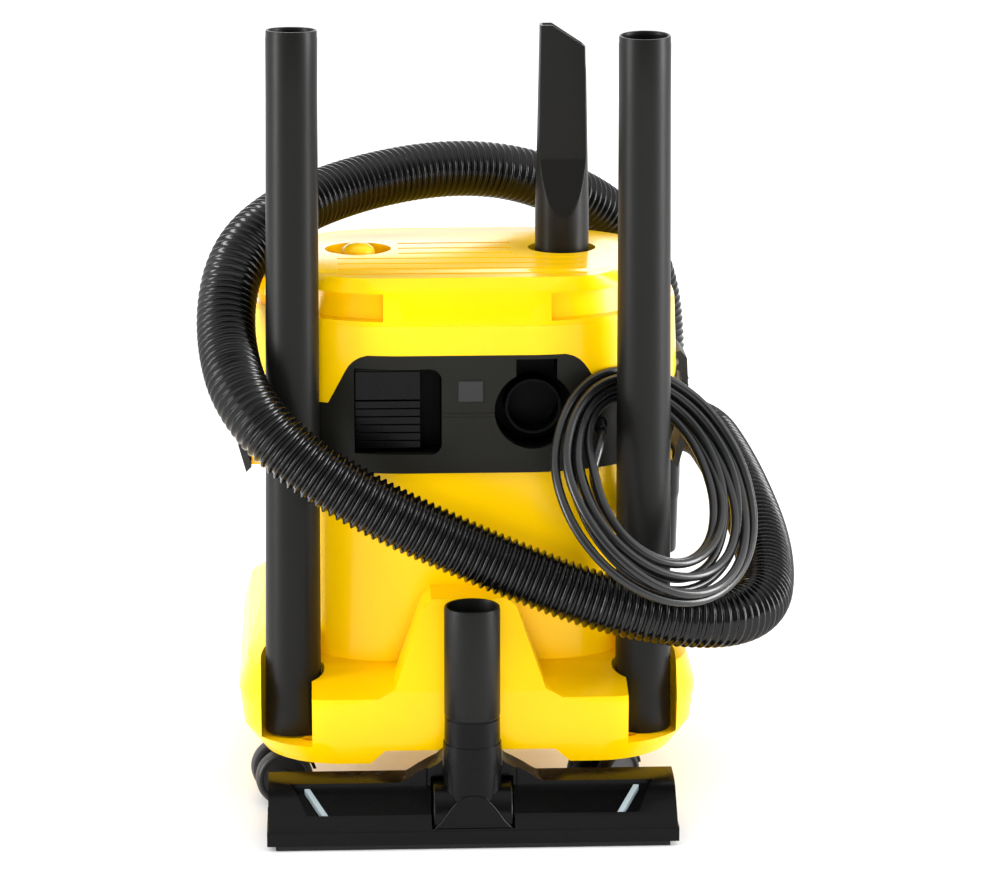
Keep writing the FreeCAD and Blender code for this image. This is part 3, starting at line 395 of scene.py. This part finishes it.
def hose_tree():
    """Sweeps a circle along a curve, its radius rising and falling with each corrugation."""
    made = Tree("corrugated_tube", Radius="NodeSocketFloat", Pitch="NodeSocketFloat", Rib="NodeSocketFloat",
                Finish="NodeSocketMaterial")
    step = made.math("DIVIDE", made.inputs["Pitch"], 8.0)
    curve = made.add("GeometryNodeResampleCurve", attributes={"mode": "LENGTH"},
                     Curve=made.inputs["Geometry"], Length=step)
    travelled = made.add("GeometryNodeSplineParameter", result=1)
    phase = made.math("MULTIPLY", made.math("DIVIDE", travelled, made.inputs["Pitch"]), 2 * pi)
    wave = made.math("POWER", made.math("ADD", made.math("MULTIPLY", made.math("COSINE", phase), 0.5), 0.5), 1.1)
    depth = made.math("MULTIPLY", made.math("SUBTRACT", 1.0, wave), made.inputs["Rib"])
    radius = made.math("SUBTRACT", made.inputs["Radius"], depth)
    ring = made.add("GeometryNodeCurvePrimitiveCircle", Resolution=36, Radius=1.0)
    tube = made.add("GeometryNodeCurveToMesh", Curve=curve, Profile_Curve=ring, Scale=radius, Fill_Caps=False)
    smooth = made.add("GeometryNodeSetShadeSmooth", Geometry=tube)
    whole = made.add("GeometryNodeRealizeInstances", Geometry=smooth)
    done = made.add("GeometryNodeSetMaterial", Geometry=whole, Material=made.inputs["Finish"])
    made.tree.links.new(done, made.end)
    return made


def row_tree():
    """Puts a copy of the object's own mesh at each step of a straight row."""
    made = Tree("row", Count="NodeSocketInt", Step="NodeSocketVector", Finish="NodeSocketMaterial")
    points = made.add("GeometryNodeMeshLine", Count=made.inputs["Count"], Offset=made.inputs["Step"])
    row = made.add("GeometryNodeInstanceOnPoints", Points=points, Instance=made.inputs["Geometry"])
    whole = made.add("GeometryNodeRealizeInstances", Geometry=row)
    done = made.add("GeometryNodeSetMaterial", Geometry=whole, Material=made.inputs["Finish"])
    made.tree.links.new(done, made.end)
    return made


def row_of(mesh, count, step, finish):
    """The mesh repeated in a row, in one mesh."""
    seed = link("seed", mesh)
    row = row_tree().run(seed, Count=count, Step=step, Finish=FINISHES[finish])
    bpy.data.objects.remove(seed)
    return row


def joined(*meshes):
    """Several meshes in one, without cutting them."""
    bm = bmesh.new()
    for mesh in meshes:
        bm.from_mesh(mesh)
    return mesh_of("joined", bm)


# ---- stage ----

class VACUUM_OT_stage(bpy.types.Operator):
    """Makes the floor, the soft lights and the camera"""
    bl_idname = "vacuum.stage"
    bl_label = "Stage"

    def execute(self, context):
        bm = bmesh.new()
        bmesh.ops.create_grid(bm, x_segments=1, y_segments=1, size=30)
        floor = link("floor", mesh_of("floor", bm))
        pale, tree, shader = tree_of("studio_floor")
        where = tree.nodes.new("ShaderNodeTexCoord")
        clouds = noise(tree, where, 3.0, 2.0)
        ramp = tree.nodes.new("ShaderNodeValToRGB")
        ramp.color_ramp.elements[0].color = (0.88, 0.88, 0.885, 1)
        ramp.color_ramp.elements[1].color = (0.91, 0.91, 0.91, 1)
        tree.links.new(clouds.outputs["Fac"], ramp.inputs["Fac"])
        tree.links.new(ramp.outputs["Color"], shader.inputs["Base Color"])
        shader.inputs["Roughness"].default_value = 0.6
        floor.data.materials.append(pale)
        world = bpy.data.worlds.new("studio")
        context.scene.world = world
        world.use_nodes = True
        sky = world.node_tree
        where = sky.nodes.new("ShaderNodeTexCoord")
        axes = sky.nodes.new("ShaderNodeSeparateXYZ")
        shade = sky.nodes.new("ShaderNodeMapRange")
        shade.inputs["From Min"].default_value = -0.95
        shade.inputs["From Max"].default_value = -0.45
        shade.inputs["To Min"].default_value = 0.12
        shade.inputs["To Max"].default_value = 1.2
        sky.links.new(where.outputs["Generated"], axes.inputs["Vector"])
        sky.links.new(axes.outputs["Y"], shade.inputs["Value"])
        sky.links.new(shade.outputs["Result"], sky.nodes["Background"].inputs["Strength"])
        sky.nodes["Background"].inputs["Color"].default_value = (1, 1, 1, 1)
        for name, place, size, power, mirrored in (("left_softbox", (-2.3, -0.7, 0.7), (0.5, 1.8), 48, True),
                                                   ("right_softbox", (2.4, -0.5, 0.7), (0.7, 1.8), 74, True),
                                                   ("back_softbox", (0, 3.4, 1.5), (3.4, 1.2), 36, True),
                                                   ("top_fill", (-0.2, -2.6, 3.3), (2.0, 1.0), 12, False),
                                                   ("low_fill", (-0.1, -3.4, 0.6), (1.6, 0.6), 48, False)):
            lamp = bpy.data.lights.new(name, "AREA")
            lamp.shape = "RECTANGLE"
            lamp.size, lamp.size_y = size
            lamp.energy = power
            light = link(name, lamp)
            light.visible_glossy = mirrored
            light.location = place
            light.rotation_euler = (Vector((0, 0, 0.25)) - Vector(place)).to_track_quat("-Z", "Y").to_euler()
        view = bpy.data.cameras.new("camera")
        view.lens = 144
        view.sensor_width = 36
        view.clip_end = 60
        camera = link("camera", view)
        camera.location = (-0.1015, -2.842, 0.935)
        heading = Vector((0.0454, 0.999, 0)).normalized() * cos(radians(13.6))
        heading.z = -sin(radians(13.6))
        camera.rotation_euler = heading.to_track_quat("-Z", "Y").to_euler()
        context.scene.camera = camera
        context.scene.view_settings.view_transform = "Standard"
        return {"FINISHED"}


# ---- hose and mains cord ----

HOSE_ROUTE = [(52, 186, 200), (116, 186, 200), (186, 152, 224), (206, 58, 204), (222, -42, 164),
              (204, -142, 144), (112, -174, 159), (6, -168, 200), (-96, -170, 252), (-156, -148, 300),
              (-172, -84, 344), (-163, -46, 391), (-128, 2, 414), (-70, 64, 425), (0, 104, 429),
              (62, 130, 416), (130, 184, 372), (163, 222, 306), (162, 223, 238)]
LEAD_ROUTE = [(92, -104, 280), (92, -124, 280), (92, -150, 279)]
TAIL_ROUTE = [(119, -90, 296), (121, -89, 268), (124, -84, 241)]
COIL_MIDDLE = Vector((128, -146, 248))
COIL_TALL = Vector((-9.6, 54.4, 57.3))
COIL_WIDE = Vector((56, 26, -15.5))


def aimed(place, along):
    """A placement whose z runs along a direction from a place given in millimetres."""
    return Matrix.Translation(Vector(place) * MM) @ Vector(along).to_track_quat("Z", "Y").to_matrix().to_4x4()


class VACUUM_OT_hose(bpy.types.Operator):
    """Makes the corrugated hose with its cuff and its hand piece"""
    bl_idname = "vacuum.hose"
    bl_label = "Suction hose"

    def execute(self, context):
        sizes = context.scene.vacuum_sizes
        route = spline("hose_route", [Vector(p) * MM for p in HOSE_ROUTE])
        path = line_of(route)
        mesh = hose_tree().run(route, Radius=sizes.hose / 2, Pitch=sizes.pitch, Rib=sizes.rib,
                               Finish=FINISHES["hose_plastic"])
        bpy.data.objects.remove(route)
        hose = stand("suction_hose", mesh, "machine", "hose_plastic", "hose_tube")
        cuff = stand("hose_cuff_ring", turned([(16.5, 0), (20.5, 0), (21.5, 1), (21.5, 5), (21, 5.6), (21, 6.4),
                                               (21.5, 7), (21.5, 18), (20.6, 20), (16.5, 20)], 72,
                                              aimed((32, 186, 200), (1, 0, 0))),
                     "machine", "black_plastic", "hose_cuff")
        along = Vector((-1, 1, -68)).normalized()
        grip = stand("hose_hand_piece", turned([(16, 0), (21, 0), (22, 1.5), (22, 8), (21.2, 9), (21.2, 11),
                                                (22, 12), (22, 31), (21.2, 34), (19.8, 40), (19.5, 92),
                                                (18.6, 97), (18.2, 138), (17.6, 140), (16, 140)], 72,
                                               aimed(HOSE_ROUTE[-1], along)),
                     "machine", "black_plastic", "hose_handle")
        return {"FINISHED"}


def coil_point(angle):
    """A point of the mains cord coil, in millimetres, at an angle in degrees from its top."""
    turn = (-90 - angle) / 360
    around = radians(angle)
    middle = COIL_TALL * cos(around) + COIL_WIDE * sin(around)
    outward = middle.normalized()
    across = COIL_TALL.cross(COIL_WIDE).normalized()
    top = max(0.0, cos(around)) ** 0.7
    tilt = radians(45) * top
    stack = cos(tilt) * outward - sin(tilt) * across
    gap = sin(tilt) * outward + cos(tilt) * across
    spread = (-10.5 + 3.5 * turn) * (1 + 0.55 * (1 - top)) + (1 - top) * 1.8 * sin(2.3 * turn + 3 * around)
    layer = 3.6 * max(-1.0, min(1.0, 2.2 * cos(pi * turn)))
    return COIL_MIDDLE + middle + stack * spread + gap * layer


class VACUUM_OT_cord(bpy.types.Operator):
    """Makes the mains cord with its coil, its strain relief and its plug"""
    bl_idname = "vacuum.cord"
    bl_label = "Mains cord"

    def execute(self, context):
        sizes = context.scene.vacuum_sizes
        points = [Vector(p) for p in LEAD_ROUTE]
        last = -90 - round(360 * (sizes.turns - 1) + 270)
        points += [coil_point(angle) for angle in range(-90, last - 1, -24)]
        lead = spline("mains_cord", [p * MM for p in points])
        tail = spline("mains_cord_end", [Vector(p) * MM for p in TAIL_ROUTE])
        for curve in (lead, tail):
            curve.data.bevel_depth = sizes.cord / 2
            curve.data.bevel_resolution = 4
            curve.data.use_fill_caps = True
            curve.data.resolution_u = 8
            curve.data.materials.append(FINISHES["cord_rubber"])
            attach(curve, "machine")
        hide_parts("cord_lead", "cord_coil")
        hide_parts("cord_tail")
        ribs = [(3.3, 0), (6.4, 0), (6.6, 1), (6.4, 3), (5.4, 3.4)]
        for number in range(5):
            wide, start = 5.4 - 0.3 * number, 4 + 4.2 * number
            ribs += [(wide, start), (wide - 0.1, start + 2.8), (wide - 0.8, start + 3.1), (wide - 0.9, start + 4.0)]
        ribs += [(4, 27), (3.5, 28), (3.3, 28)]
        relief = stand("cord_strain_relief", turned(ribs, 32, aimed((92, -104.2, 280), (0, -1, 0))),
                       "machine", "black_plastic")
        repaint("cord_gland")
        body = turned([(0, 0), (4.2, 0), (4.6, 4), (5.6, 8), (5.2, 8.6), (6.4, 12), (6, 12.6), (8.6, 18),
                       (11, 22), (11.5, 27), (10.9, 27.6), (10.9, 29), (11.5, 29.6), (11.2, 33.4), (10.4, 34),
                       (0, 34)], 48, aimed(TAIL_ROUTE[-1], (0, 0, -1)))
        pins = [turned([(0, 33.5), (2.2, 33.5), (2.2, 43), (1.9, 43.3), (1.9, 51.5), (1.1, 53), (0, 53)], 20,
                       aimed(Vector(TAIL_ROUTE[-1]) + Vector((side, 0, 0)), (0, 0, -1))) for side in (-6.5, 6.5)]
        plug = stand("mains_plug", body, "machine", "black_plastic", "cord_plug")
        prongs = stand("mains_plug_pins", joined(*pins), "machine", "steel", "cord_plug")
        return {"FINISHED"}


# ---- shell ----

def cross_screws(name, places, along, radius, body, slot, *nodes):
    """Pan-head screws with a cross recess, in millimetres, their heads facing along a direction."""
    heads = []
    for place in places:
        spot = aimed(place, along)
        head = turned([(0, -1), (radius * 0.5, -1), (radius * 0.5, 0), (radius, 0), (radius * 0.98, radius * 0.25),
                       (radius * 0.75, radius * 0.5), (radius * 0.3, radius * 0.6), (0, radius * 0.62)], 32)
        arm, thin = radius * 0.55, radius * 0.13
        cross = [prism([(-a, -b), (a, -b), (a, b), (-a, b)], "z", radius * 0.25, radius) for a, b in
                 ((arm, thin), (thin, arm))]
        head = shaped(head, ("DIFFERENCE", cross[0]), ("DIFFERENCE", cross[1]))
        head.transform(spot)
        heads.append(head)
    return stand(name, joined(*heads), body, slot, *nodes)


class VACUUM_OT_chassis(bpy.types.Operator):
    """Makes the wheeled chassis and its screws"""
    bl_idname = "vacuum.chassis"
    bl_label = "Chassis"

    def execute(self, context):
        stand("chassis_moulding", rounded(copy_of_node("chassis"), context.scene.vacuum_sizes.edge * 1.3, 3),
              "machine", "yellow_plastic", "chassis")
        places = [(x, y, 46) for x in (-60, 60) for y in (-68.8, 112)]
        cross_screws("chassis_cross_screws", places, (0, 0, -1), 4, "machine", "steel", "chassis_screws")
        return {"FINISHED"}


class VACUUM_OT_castors(bpy.types.Operator):
    """Makes the four castors, each a fork and a pair of wheels"""
    bl_idname = "vacuum.castors"
    bl_label = "Castors"

    def execute(self, context):
        for end in ("rear", "front"):
            for side in ("left", "right"):
                name = f"{end}_{side}"
                stand(f"castor_hood_{name}", rounded(copy_of_node(f"castor_fork_{name}"), 0.0008),
                      f"fork_{name}", "black_plastic", f"castor_fork_{name}")
                self.wheels(name)
        return {"FINISHED"}

    def wheels(self, name):
        low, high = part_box(f"castor_wheels_{name}")
        mesh = frame["nodes"][f"castor_wheels_{name}"].data
        middle = (low + high) / 2
        total = {}
        for polygon in mesh.polygons:
            n = polygon.normal
            if abs(n.z) < 0.001:
                key = (round(abs(n.x), 2), round(n.y if n.x > 0 else -n.y, 2))
                total[key] = total.get(key, 0) + polygon.area
        axle = Vector((*max(total, key=total.get), 0))
        outline = [(2.5, -20), (2.5, -19), (6, -19), (6.5, -18.6), (7, -17.6), (15.5, -16.8), (16.3, -18.2),
                   (17, -18.9), (18.6, -18.9), (20, -17.6), (20.5, -16), (20.5, -14.4), (20.1, -14), (20.5, -13.6),
                   (20.5, -12.4), (20.1, -12), (20.5, -11.6), (20.5, -10), (19.6, -7.6), (18.5, -7),
                   (16, -7), (15.4, -8), (6.5, -8), (6, -7), (2.5, -7)]
        outline += [(r, -z) for r, z in reversed(outline)]
        outline = [(0, -20)] + outline + [(0, 20)]
        stand(f"castor_twin_wheels_{name}", turned(outline, 56, aimed(middle / MM, axle)),
              f"wheels_{name}", "grip_grey", f"castor_wheels_{name}")


class VACUUM_OT_tank(bpy.types.Operator):
    """Makes the tank, its seal and the inlet with its elbow"""
    bl_idname = "vacuum.tank"
    bl_label = "Tank"

    def execute(self, context):
        edge = context.scene.vacuum_sizes.edge
        stand("tank_tub", rounded(copy_of_node("tank"), edge), "machine", "yellow_plastic", "tank")
        stand("tank_seal_ring", rounded(copy_of_node("tank_seal"), 0.0006), "machine", "soft_rubber", "tank_seal")
        stand("inlet_spigot", rounded(copy_of_node("inlet_port"), 0.001), "machine", "black_plastic", "inlet_port")
        stand("inlet_bend", rounded(copy_of_node("inlet_elbow"), 0.0006), "machine", "black_plastic", "inlet_elbow")
        return {"FINISHED"}


def corner_fillet(x, z, upward, radius=8):
    """The piece that rounds a right-hand corner of an opening in the rear panel, in millimetres."""
    corner = [(x + 0.5, z - upward * 0.5), (x + 0.5, z + upward * radius)]
    corner += [(x - radius * (1 - cos(radians(t))), z + upward * radius * (1 - sin(radians(t))))
               for t in range(0, 91, 15)]
    corner.append((x - radius, z - upward * 0.5))
    return prism(corner, "y", -112, -109.1)


class VACUUM_OT_head(bpy.types.Operator):
    """Makes the motor head, its rear panel, the air outlet and the blower socket"""
    bl_idname = "vacuum.head"
    bl_label = "Motor head"

    def execute(self, context):
        edge = context.scene.vacuum_sizes.edge
        slat = context.scene.vacuum_sizes.slat
        stand("head_housing", rounded(copy_of_node("head_shell"), edge), "machine", "yellow_plastic", "head_shell")
        groove = [prism([(x1, z), (x2, z), (x2, z + 0.9), (x1, z + 0.9)], "y", -113, -111.2)
                  for x1, x2 in ((-18, 19),) for z in (286.6, 289.4)]
        badge = prism([(-6.7, 298), (10.9, 298), (10.9, 313), (-6.7, 313)], "y", -112.8, -111)
        fillets = [corner_fillet(-18.3, z, upward) for z, upward in ((259.8, 1), (321.5, -1))]
        panel = shaped(copy_of_node("rear_panel"), *[("DIFFERENCE", g) for g in groove],
                       *[("UNION", f) for f in fillets])
        stand("rear_cover_panel", rounded(panel, edge * 0.8), "machine", "panel_plastic", "rear_panel")
        stand("panel_pad", rounded(badge, 0.0005), "machine", "panel_plastic", "rear_panel", finish="grip_grey")
        # The outlet tray behind the slats is painted extra dark: painted shade between the slats and in the outlet
        # recess.
        stand("outlet_tray", rounded(copy_of_node("outlet_housing"), edge), "machine", "panel_plastic",
              "outlet_housing", finish="deep_black")
        backing = prism([(-79, 260.2), (-33, 260.2), (-33, 296.6), (-79, 296.6)], "y", -92, -80.2)
        bar = prism([(-98, 0), (-91, 0.2), (-91, 5.5), (-98, 5.3)], "x", -79, -33)
        bar.transform(Matrix.Translation(Vector((0, 0, 261.6 * MM))))
        slats = row_of(bar, 6, (0, 0, slat), "panel_plastic")
        stand("outlet_slats", rounded(joined(backing, slats), 0.0004), "machine", "black_plastic", "outlet_grille")
        stand("outlet_lid", rounded(copy_of_node("outlet_flap"), 0.0009), "outlet_flap", "black_plastic",
              "outlet_flap")
        # The blower socket is painted extra dark so its inner ring does not show: painted shade inside the opening.
        stand("blower_socket_cup", rounded(copy_of_node("blower_port"), edge), "machine", "black_plastic",
              "blower_port", finish="deep_black")
        cross_screws("panel_cross_screws", [(-2, -107.6, 270), (3, -107.6, 318)], (0, 1, 0), 2.9, "machine",
                     "steel", "panel_screws")
        return {"FINISHED"}


class VACUUM_OT_lid(bpy.types.Operator):
    """Makes the lid, its power knob and the carrying handle"""
    bl_idname = "vacuum.lid"
    bl_label = "Lid"

    def execute(self, context):
        edge = context.scene.vacuum_sizes.edge
        stand("lid_moulding", rounded(copy_of_node("head_cover"), edge * 1.3, 3), "machine", "yellow_plastic",
              "head_cover")
        stand("knob_moulding", rounded(copy_of_node("power_knob"), edge, 3), "power_knob", "yellow_plastic",
              "power_knob")
        stand("handle_moulding", rounded(copy_of_node("carry_handle"), edge * 1.2, 3), "carry_handle",
              "black_plastic", "carry_handle")
        repaint("power_switch", "handle_pins")
        return {"FINISHED"}


class VACUUM_OT_latches(bpy.types.Operator):
    """Makes the two ribbed side latches"""
    bl_idname = "vacuum.latches"
    bl_label = "Latches"

    def execute(self, context):
        rib = context.scene.vacuum_sizes.grip_rib / MM
        for side, sign in (("left", -1), ("right", 1)):
            body = rounded(copy_of_node(f"latch_{side}"), 0.0012, 3)
            x1, x2 = sorted((sign * 163.2, sign * (164.6 + rib)))
            bar = prism([(x1, 0), (x2, 0.3), (x2, 1.4), (x1, 1.7)] if sign > 0 else
                        [(x1, 0.3), (x2, 0), (x2, 1.7), (x1, 1.4)], "y", -2, 32)
            bar.transform(Matrix.Translation(Vector((0, 0, 246 * MM))))
            ribs = row_of(bar, 9, (0, 0, 0.0052), "grip_grey")
            stand(f"latch_{side}_moulding", joined(body, ribs), f"latch_{side}", "grip_grey", f"latch_{side}")
        repaint("latch_pins")
        return {"FINISHED"}


# ---- parked tools ----

class VACUUM_OT_tubes(bpy.types.Operator):
    """Makes the two suction tubes"""
    bl_idname = "vacuum.tubes"
    bl_label = "Suction tubes"

    def execute(self, context):
        outline = [(18.1, 0), (19.6, 0), (19.9, 0.4), (19.9, 18), (19.75, 24), (17.95, 455), (17.95, 456.5),
                   (17.9, 494.5), (17.7, 495.2), (17.7, 498.8), (17.3, 499.9), (16.4, 500), (15.9, 499.4),
                   (15.9, 497), (17.9, 30), (18.1, 10)]
        for side, sign, lean, inward in (("left", -1, -1.3, 0.5), ("right", 1, 2.7, -0.5)):
            place = (Matrix.Translation(Vector((sign * 125, -110, TUBE_FOOT)) * MM)
                     @ Matrix.Rotation(radians(inward), 4, "Y") @ Matrix.Rotation(radians(lean), 4, "X"))
            stand(f"suction_tube_{side}", turned(outline, 96, place), f"suction_pipe_{side}", "pipe_plastic",
                  f"suction_pipe_{side}")
        return {"FINISHED"}


class VACUUM_OT_crevice_tool(bpy.types.Operator):
    """Makes the crevice tool, round at its foot and flat at its slanted mouth"""
    bl_idname = "vacuum.crevice_tool"
    bl_label = "Crevice tool"

    def execute(self, context):
        sides = 144
        levels = [325.2, 326.4, 384, 402, 408] + [409 + 1.6 * k for k in range(28)] + [458, 472, 492, 515, 532, 547]
        bm = bmesh.new()
        rings = []
        for wall, heights in ((0.0, levels), (2.0, levels[::-1])):
            for level in heights:
                up = max(0.0, (level - 409) / 138)
                radius = 19.5 - (0.5 if level < 326 else 0) - wall
                flat = -19.6 + 0.25 * min(41, max(0.0, level - 409)) + 3.0 * up + wall
                rear = 19.5 - 9.0 * min(1.0, up * 2) - 1.5 * up - wall
                narrow = 1 - 0.155 * up
                mouth = 547 - 13 * (547 - min(547, max(532, level))) / 15
                ring = []
                for k in range(sides):
                    x = radius * cos(2 * pi * k / sides) * narrow
                    y = max(flat, min(rear, radius * sin(2 * pi * k / sides)))
                    z = min(level, mouth - max(0.0, (x + 7.5) * 0.66)) if level > 530 else level
                    ring.append(bm.verts.new(Vector((73 + x, 10 + y, z)) * MM))
                rings.append(ring)
        for low, high in list(zip(rings, rings[1:])) + [(rings[-1], rings[0])]:
            for k in range(sides):
                n = (k + 1) % sides
                bm.faces.new((low[k], low[n], high[n], high[k]))
        bmesh.ops.recalc_face_normals(bm, faces=bm.faces)
        mesh = mesh_of("crevice", bm)
        mesh.shade_smooth()
        mesh.set_sharp_from_angle(angle=radians(35))
        stand("crevice_tool_moulding", mesh, "crevice_tool", "pipe_plastic", "crevice_tool")
        return {"FINISHED"}


class VACUUM_OT_nozzle(bpy.types.Operator):
    """Makes the floor nozzle, its tilting neck, its strips and its lips"""
    bl_idname = "vacuum.nozzle"
    bl_label = "Floor nozzle"

    def execute(self, context):
        hull = prism([(-206, 4), (-206, 13.2), (-205, 14.6), (-199, 20.5), (-186, 31), (-181, 35), (-175, 37.5),
                      (-166, 39), (-148, 39.5), (-148, 4)], "x", -142.6, 142.6)
        band = prism([(-206, 4), (-206, 13), (-204.6, 14.4), (-150, 14.4), (-150, 4)], "x", -143.5, 143.5)
        slot = prism([(-135.5, -186), (135.5, -186), (135.5, -162), (-135.5, -162)], "z", 0, 18)
        windows = []
        for sign in (-1, 1):
            floor = prism([(-203, 30), (-195.5, 21.8), (-191.5, 18), (-173, 31), (-171.5, 36), (-171.5, 52),
                           (-203, 52)], "x", *sorted((sign * 22, sign * 128)))
            outline = prism([(sign * x, y) for x, y in ((26, -200), (114, -200), (127.5, -172), (127, -168),
                                                        (33, -168), (30, -180))], "z", 10, 60)
            windows.append(shaped(floor, ("INTERSECT", outline)))
        hub_space = turned([(0, -29), (23, -29), (23, 29), (0, 29)], 64, aimed((0, -183, 22), (1, 0, 0)))
        neck_space = turned([(0, 22), (21.4, 22), (21.4, 80), (0, 80)], 64, Matrix.Translation((0, -0.183, 0)))
        throat = turned([(0, 6), (12, 6), (12, 40), (0, 40)], 48, Matrix.Translation((0, -0.183, 0)))
        wings = prism([(-56, 36), (-50, 38.5), (-44, 41.5), (-37, 46), (-30, 50), (-24, 53), (-20, 57), (20, 57),
                       (24, 53), (30, 50), (37, 46), (44, 41.5), (50, 38.5), (56, 36)], "y", -176, -151)
        body = shaped(hull, ("UNION", band), ("UNION", wings), ("DIFFERENCE", slot),
                      *[("DIFFERENCE", w) for w in windows], ("DIFFERENCE", hub_space),
                      ("DIFFERENCE", neck_space), ("DIFFERENCE", throat))
        stand("nozzle_moulding", rounded(body, 0.0011, 3), "nozzle_base", "black_plastic", "nozzle_body")
        self.neck()
        for label in ("nozzle_front_lip", "nozzle_rear_lip"):
            stand(label + "_rubber", rounded(copy_of_node(label), 0.0005), "nozzle_base", "soft_rubber", label)
        strips = []
        for sign in (-1, 1):
            strip = prism([(-194.6, 21.2), (-173.6, 35.4), (-173.6, 31), (-191, 19)], "x", -2, 2)
            for vertex in strip.vertices:
                vertex.co.x = sign * (0.1155 + (vertex.co.y + 0.1736) * 0.64) + vertex.co.x
            strips.append(strip)
        stand("nozzle_pale_strips", rounded(joined(*strips), 0.0005), "nozzle_base", "strip_grey", "nozzle_trim")
        return {"FINISHED"}

    def neck(self):
        place = Matrix.Translation((0, -0.183, 0))
        tube = turned([(14, 22), (20.2, 22), (20.4, 40), (20.4, 50), (19.9, 62), (19.4, 84), (19.3, 89.4),
                       (18.7, 90), (18.7, 91.4), (18.2, 91.4), (18.2, 121), (17.3, 121), (17.3, 91), (14, 91)],
                      96, place)
        hub = turned([(0, -27.4), (19.4, -27.4), (20.2, -26.6), (20.2, 26.6), (19.4, 27.4), (0, 27.4)], 72,
                     aimed((0, -183, 22), (1, 0, 0)))
        bore = turned([(0, 0), (14, 0), (14, 60), (0, 60)], 64, place)
        hump = prism([(-28, 14), (-22, 20), (-15, 30), (-9, 36.5), (-3, 39), (3, 39), (9, 36.5), (15, 30),
                      (22, 20), (28, 14)], "y", -204, -196)
        skirt = turned([(19, 42), (21.1, 42), (21.1, 60), (20.9, 64), (20.3, 72), (19, 72)], 96, place)
        arch = prism([(-26, 30), (-26, 49), (-20, 53), (-14, 56), (-7, 58), (0, 58.6), (7, 58), (14, 56),
                      (20, 53), (26, 49), (26, 30)], "y", -215, -150)
        low = shaped(tube, ("UNION", hub), ("UNION", shaped(skirt, ("DIFFERENCE", arch))), ("DIFFERENCE", bore))
        stand("nozzle_neck_moulding", rounded(low, 0.0006), "nozzle_neck", "black_plastic", "nozzle_neck")
        stand("nozzle_hinge_cap", rounded(hump, 0.0012, 3), "nozzle_neck", "black_plastic", "nozzle_neck")
        sleeve = turned([(18.4, 91.4), (19.2, 91.4), (19.5, 92), (19.5, 167.6), (19.1, 169.6), (18.4, 170),
                         (17.6, 169.6), (17.3, 168.6), (17.3, 121.2), (18.4, 121.2)], 96, place)
        stand("nozzle_sleeve_tube", sleeve, "nozzle_neck", "pipe_plastic", "nozzle_sleeve")


class VACUUM_OT_inside(bpy.types.Operator):
    """Gives the motor, fan, float and filter inside the machine their finishes"""
    bl_idname = "vacuum.inside"
    bl_label = "Inside"

    def execute(self, context):
        repaint("head_base", "motor_mount", "motor", "fan_impeller", "filter_basket", "float_ball",
                "filter_cartridge", "filter_cap", "filter_end_ring")
        return {"FINISHED"}


OPERATORS = (VACUUM_OT_stage, VACUUM_OT_hose, VACUUM_OT_cord, VACUUM_OT_chassis, VACUUM_OT_castors,
             VACUUM_OT_tank, VACUUM_OT_head, VACUUM_OT_lid, VACUUM_OT_latches, VACUUM_OT_tubes,
             VACUUM_OT_crevice_tool, VACUUM_OT_nozzle, VACUUM_OT_inside)


class VACUUM_PT_panel(bpy.types.Panel):
    """Lists the makers of the vacuum cleaner's pieces"""
    bl_label = "Vacuum cleaner"
    bl_idname = "VACUUM_PT_panel"
    bl_space_type = "VIEW_3D"
    bl_region_type = "UI"
    bl_category = "Vacuum"

    def draw(self, context):
        for group in (context.scene.vacuum_sizes, context.scene.vacuum_colours):
            for name in group.bl_rna.properties.keys():
                if name not in ("rna_type", "name"):
                    self.layout.prop(group, name)
        for operator in OPERATORS:
            self.layout.operator(operator.bl_idname)


CLASSES = (VacuumSizes, VacuumColours, *OPERATORS, VACUUM_PT_panel)


def register():
    for kind in CLASSES:
        bpy.utils.register_class(kind)
    bpy.types.Scene.vacuum_sizes = PointerProperty(type=VacuumSizes)
    bpy.types.Scene.vacuum_colours = PointerProperty(type=VacuumColours)


def unregister():
    del bpy.types.Scene.vacuum_colours
    del bpy.types.Scene.vacuum_sizes
    for kind in reversed(CLASSES):
        bpy.utils.unregister_class(kind)


def main():
    register()
    make_finishes(bpy.context.scene.vacuum_colours)
    for operator in OPERATORS:
        group, name = operator.bl_idname.split(".")
        getattr(getattr(bpy.ops, group), name)()


if __name__ == "__main__":
    main()
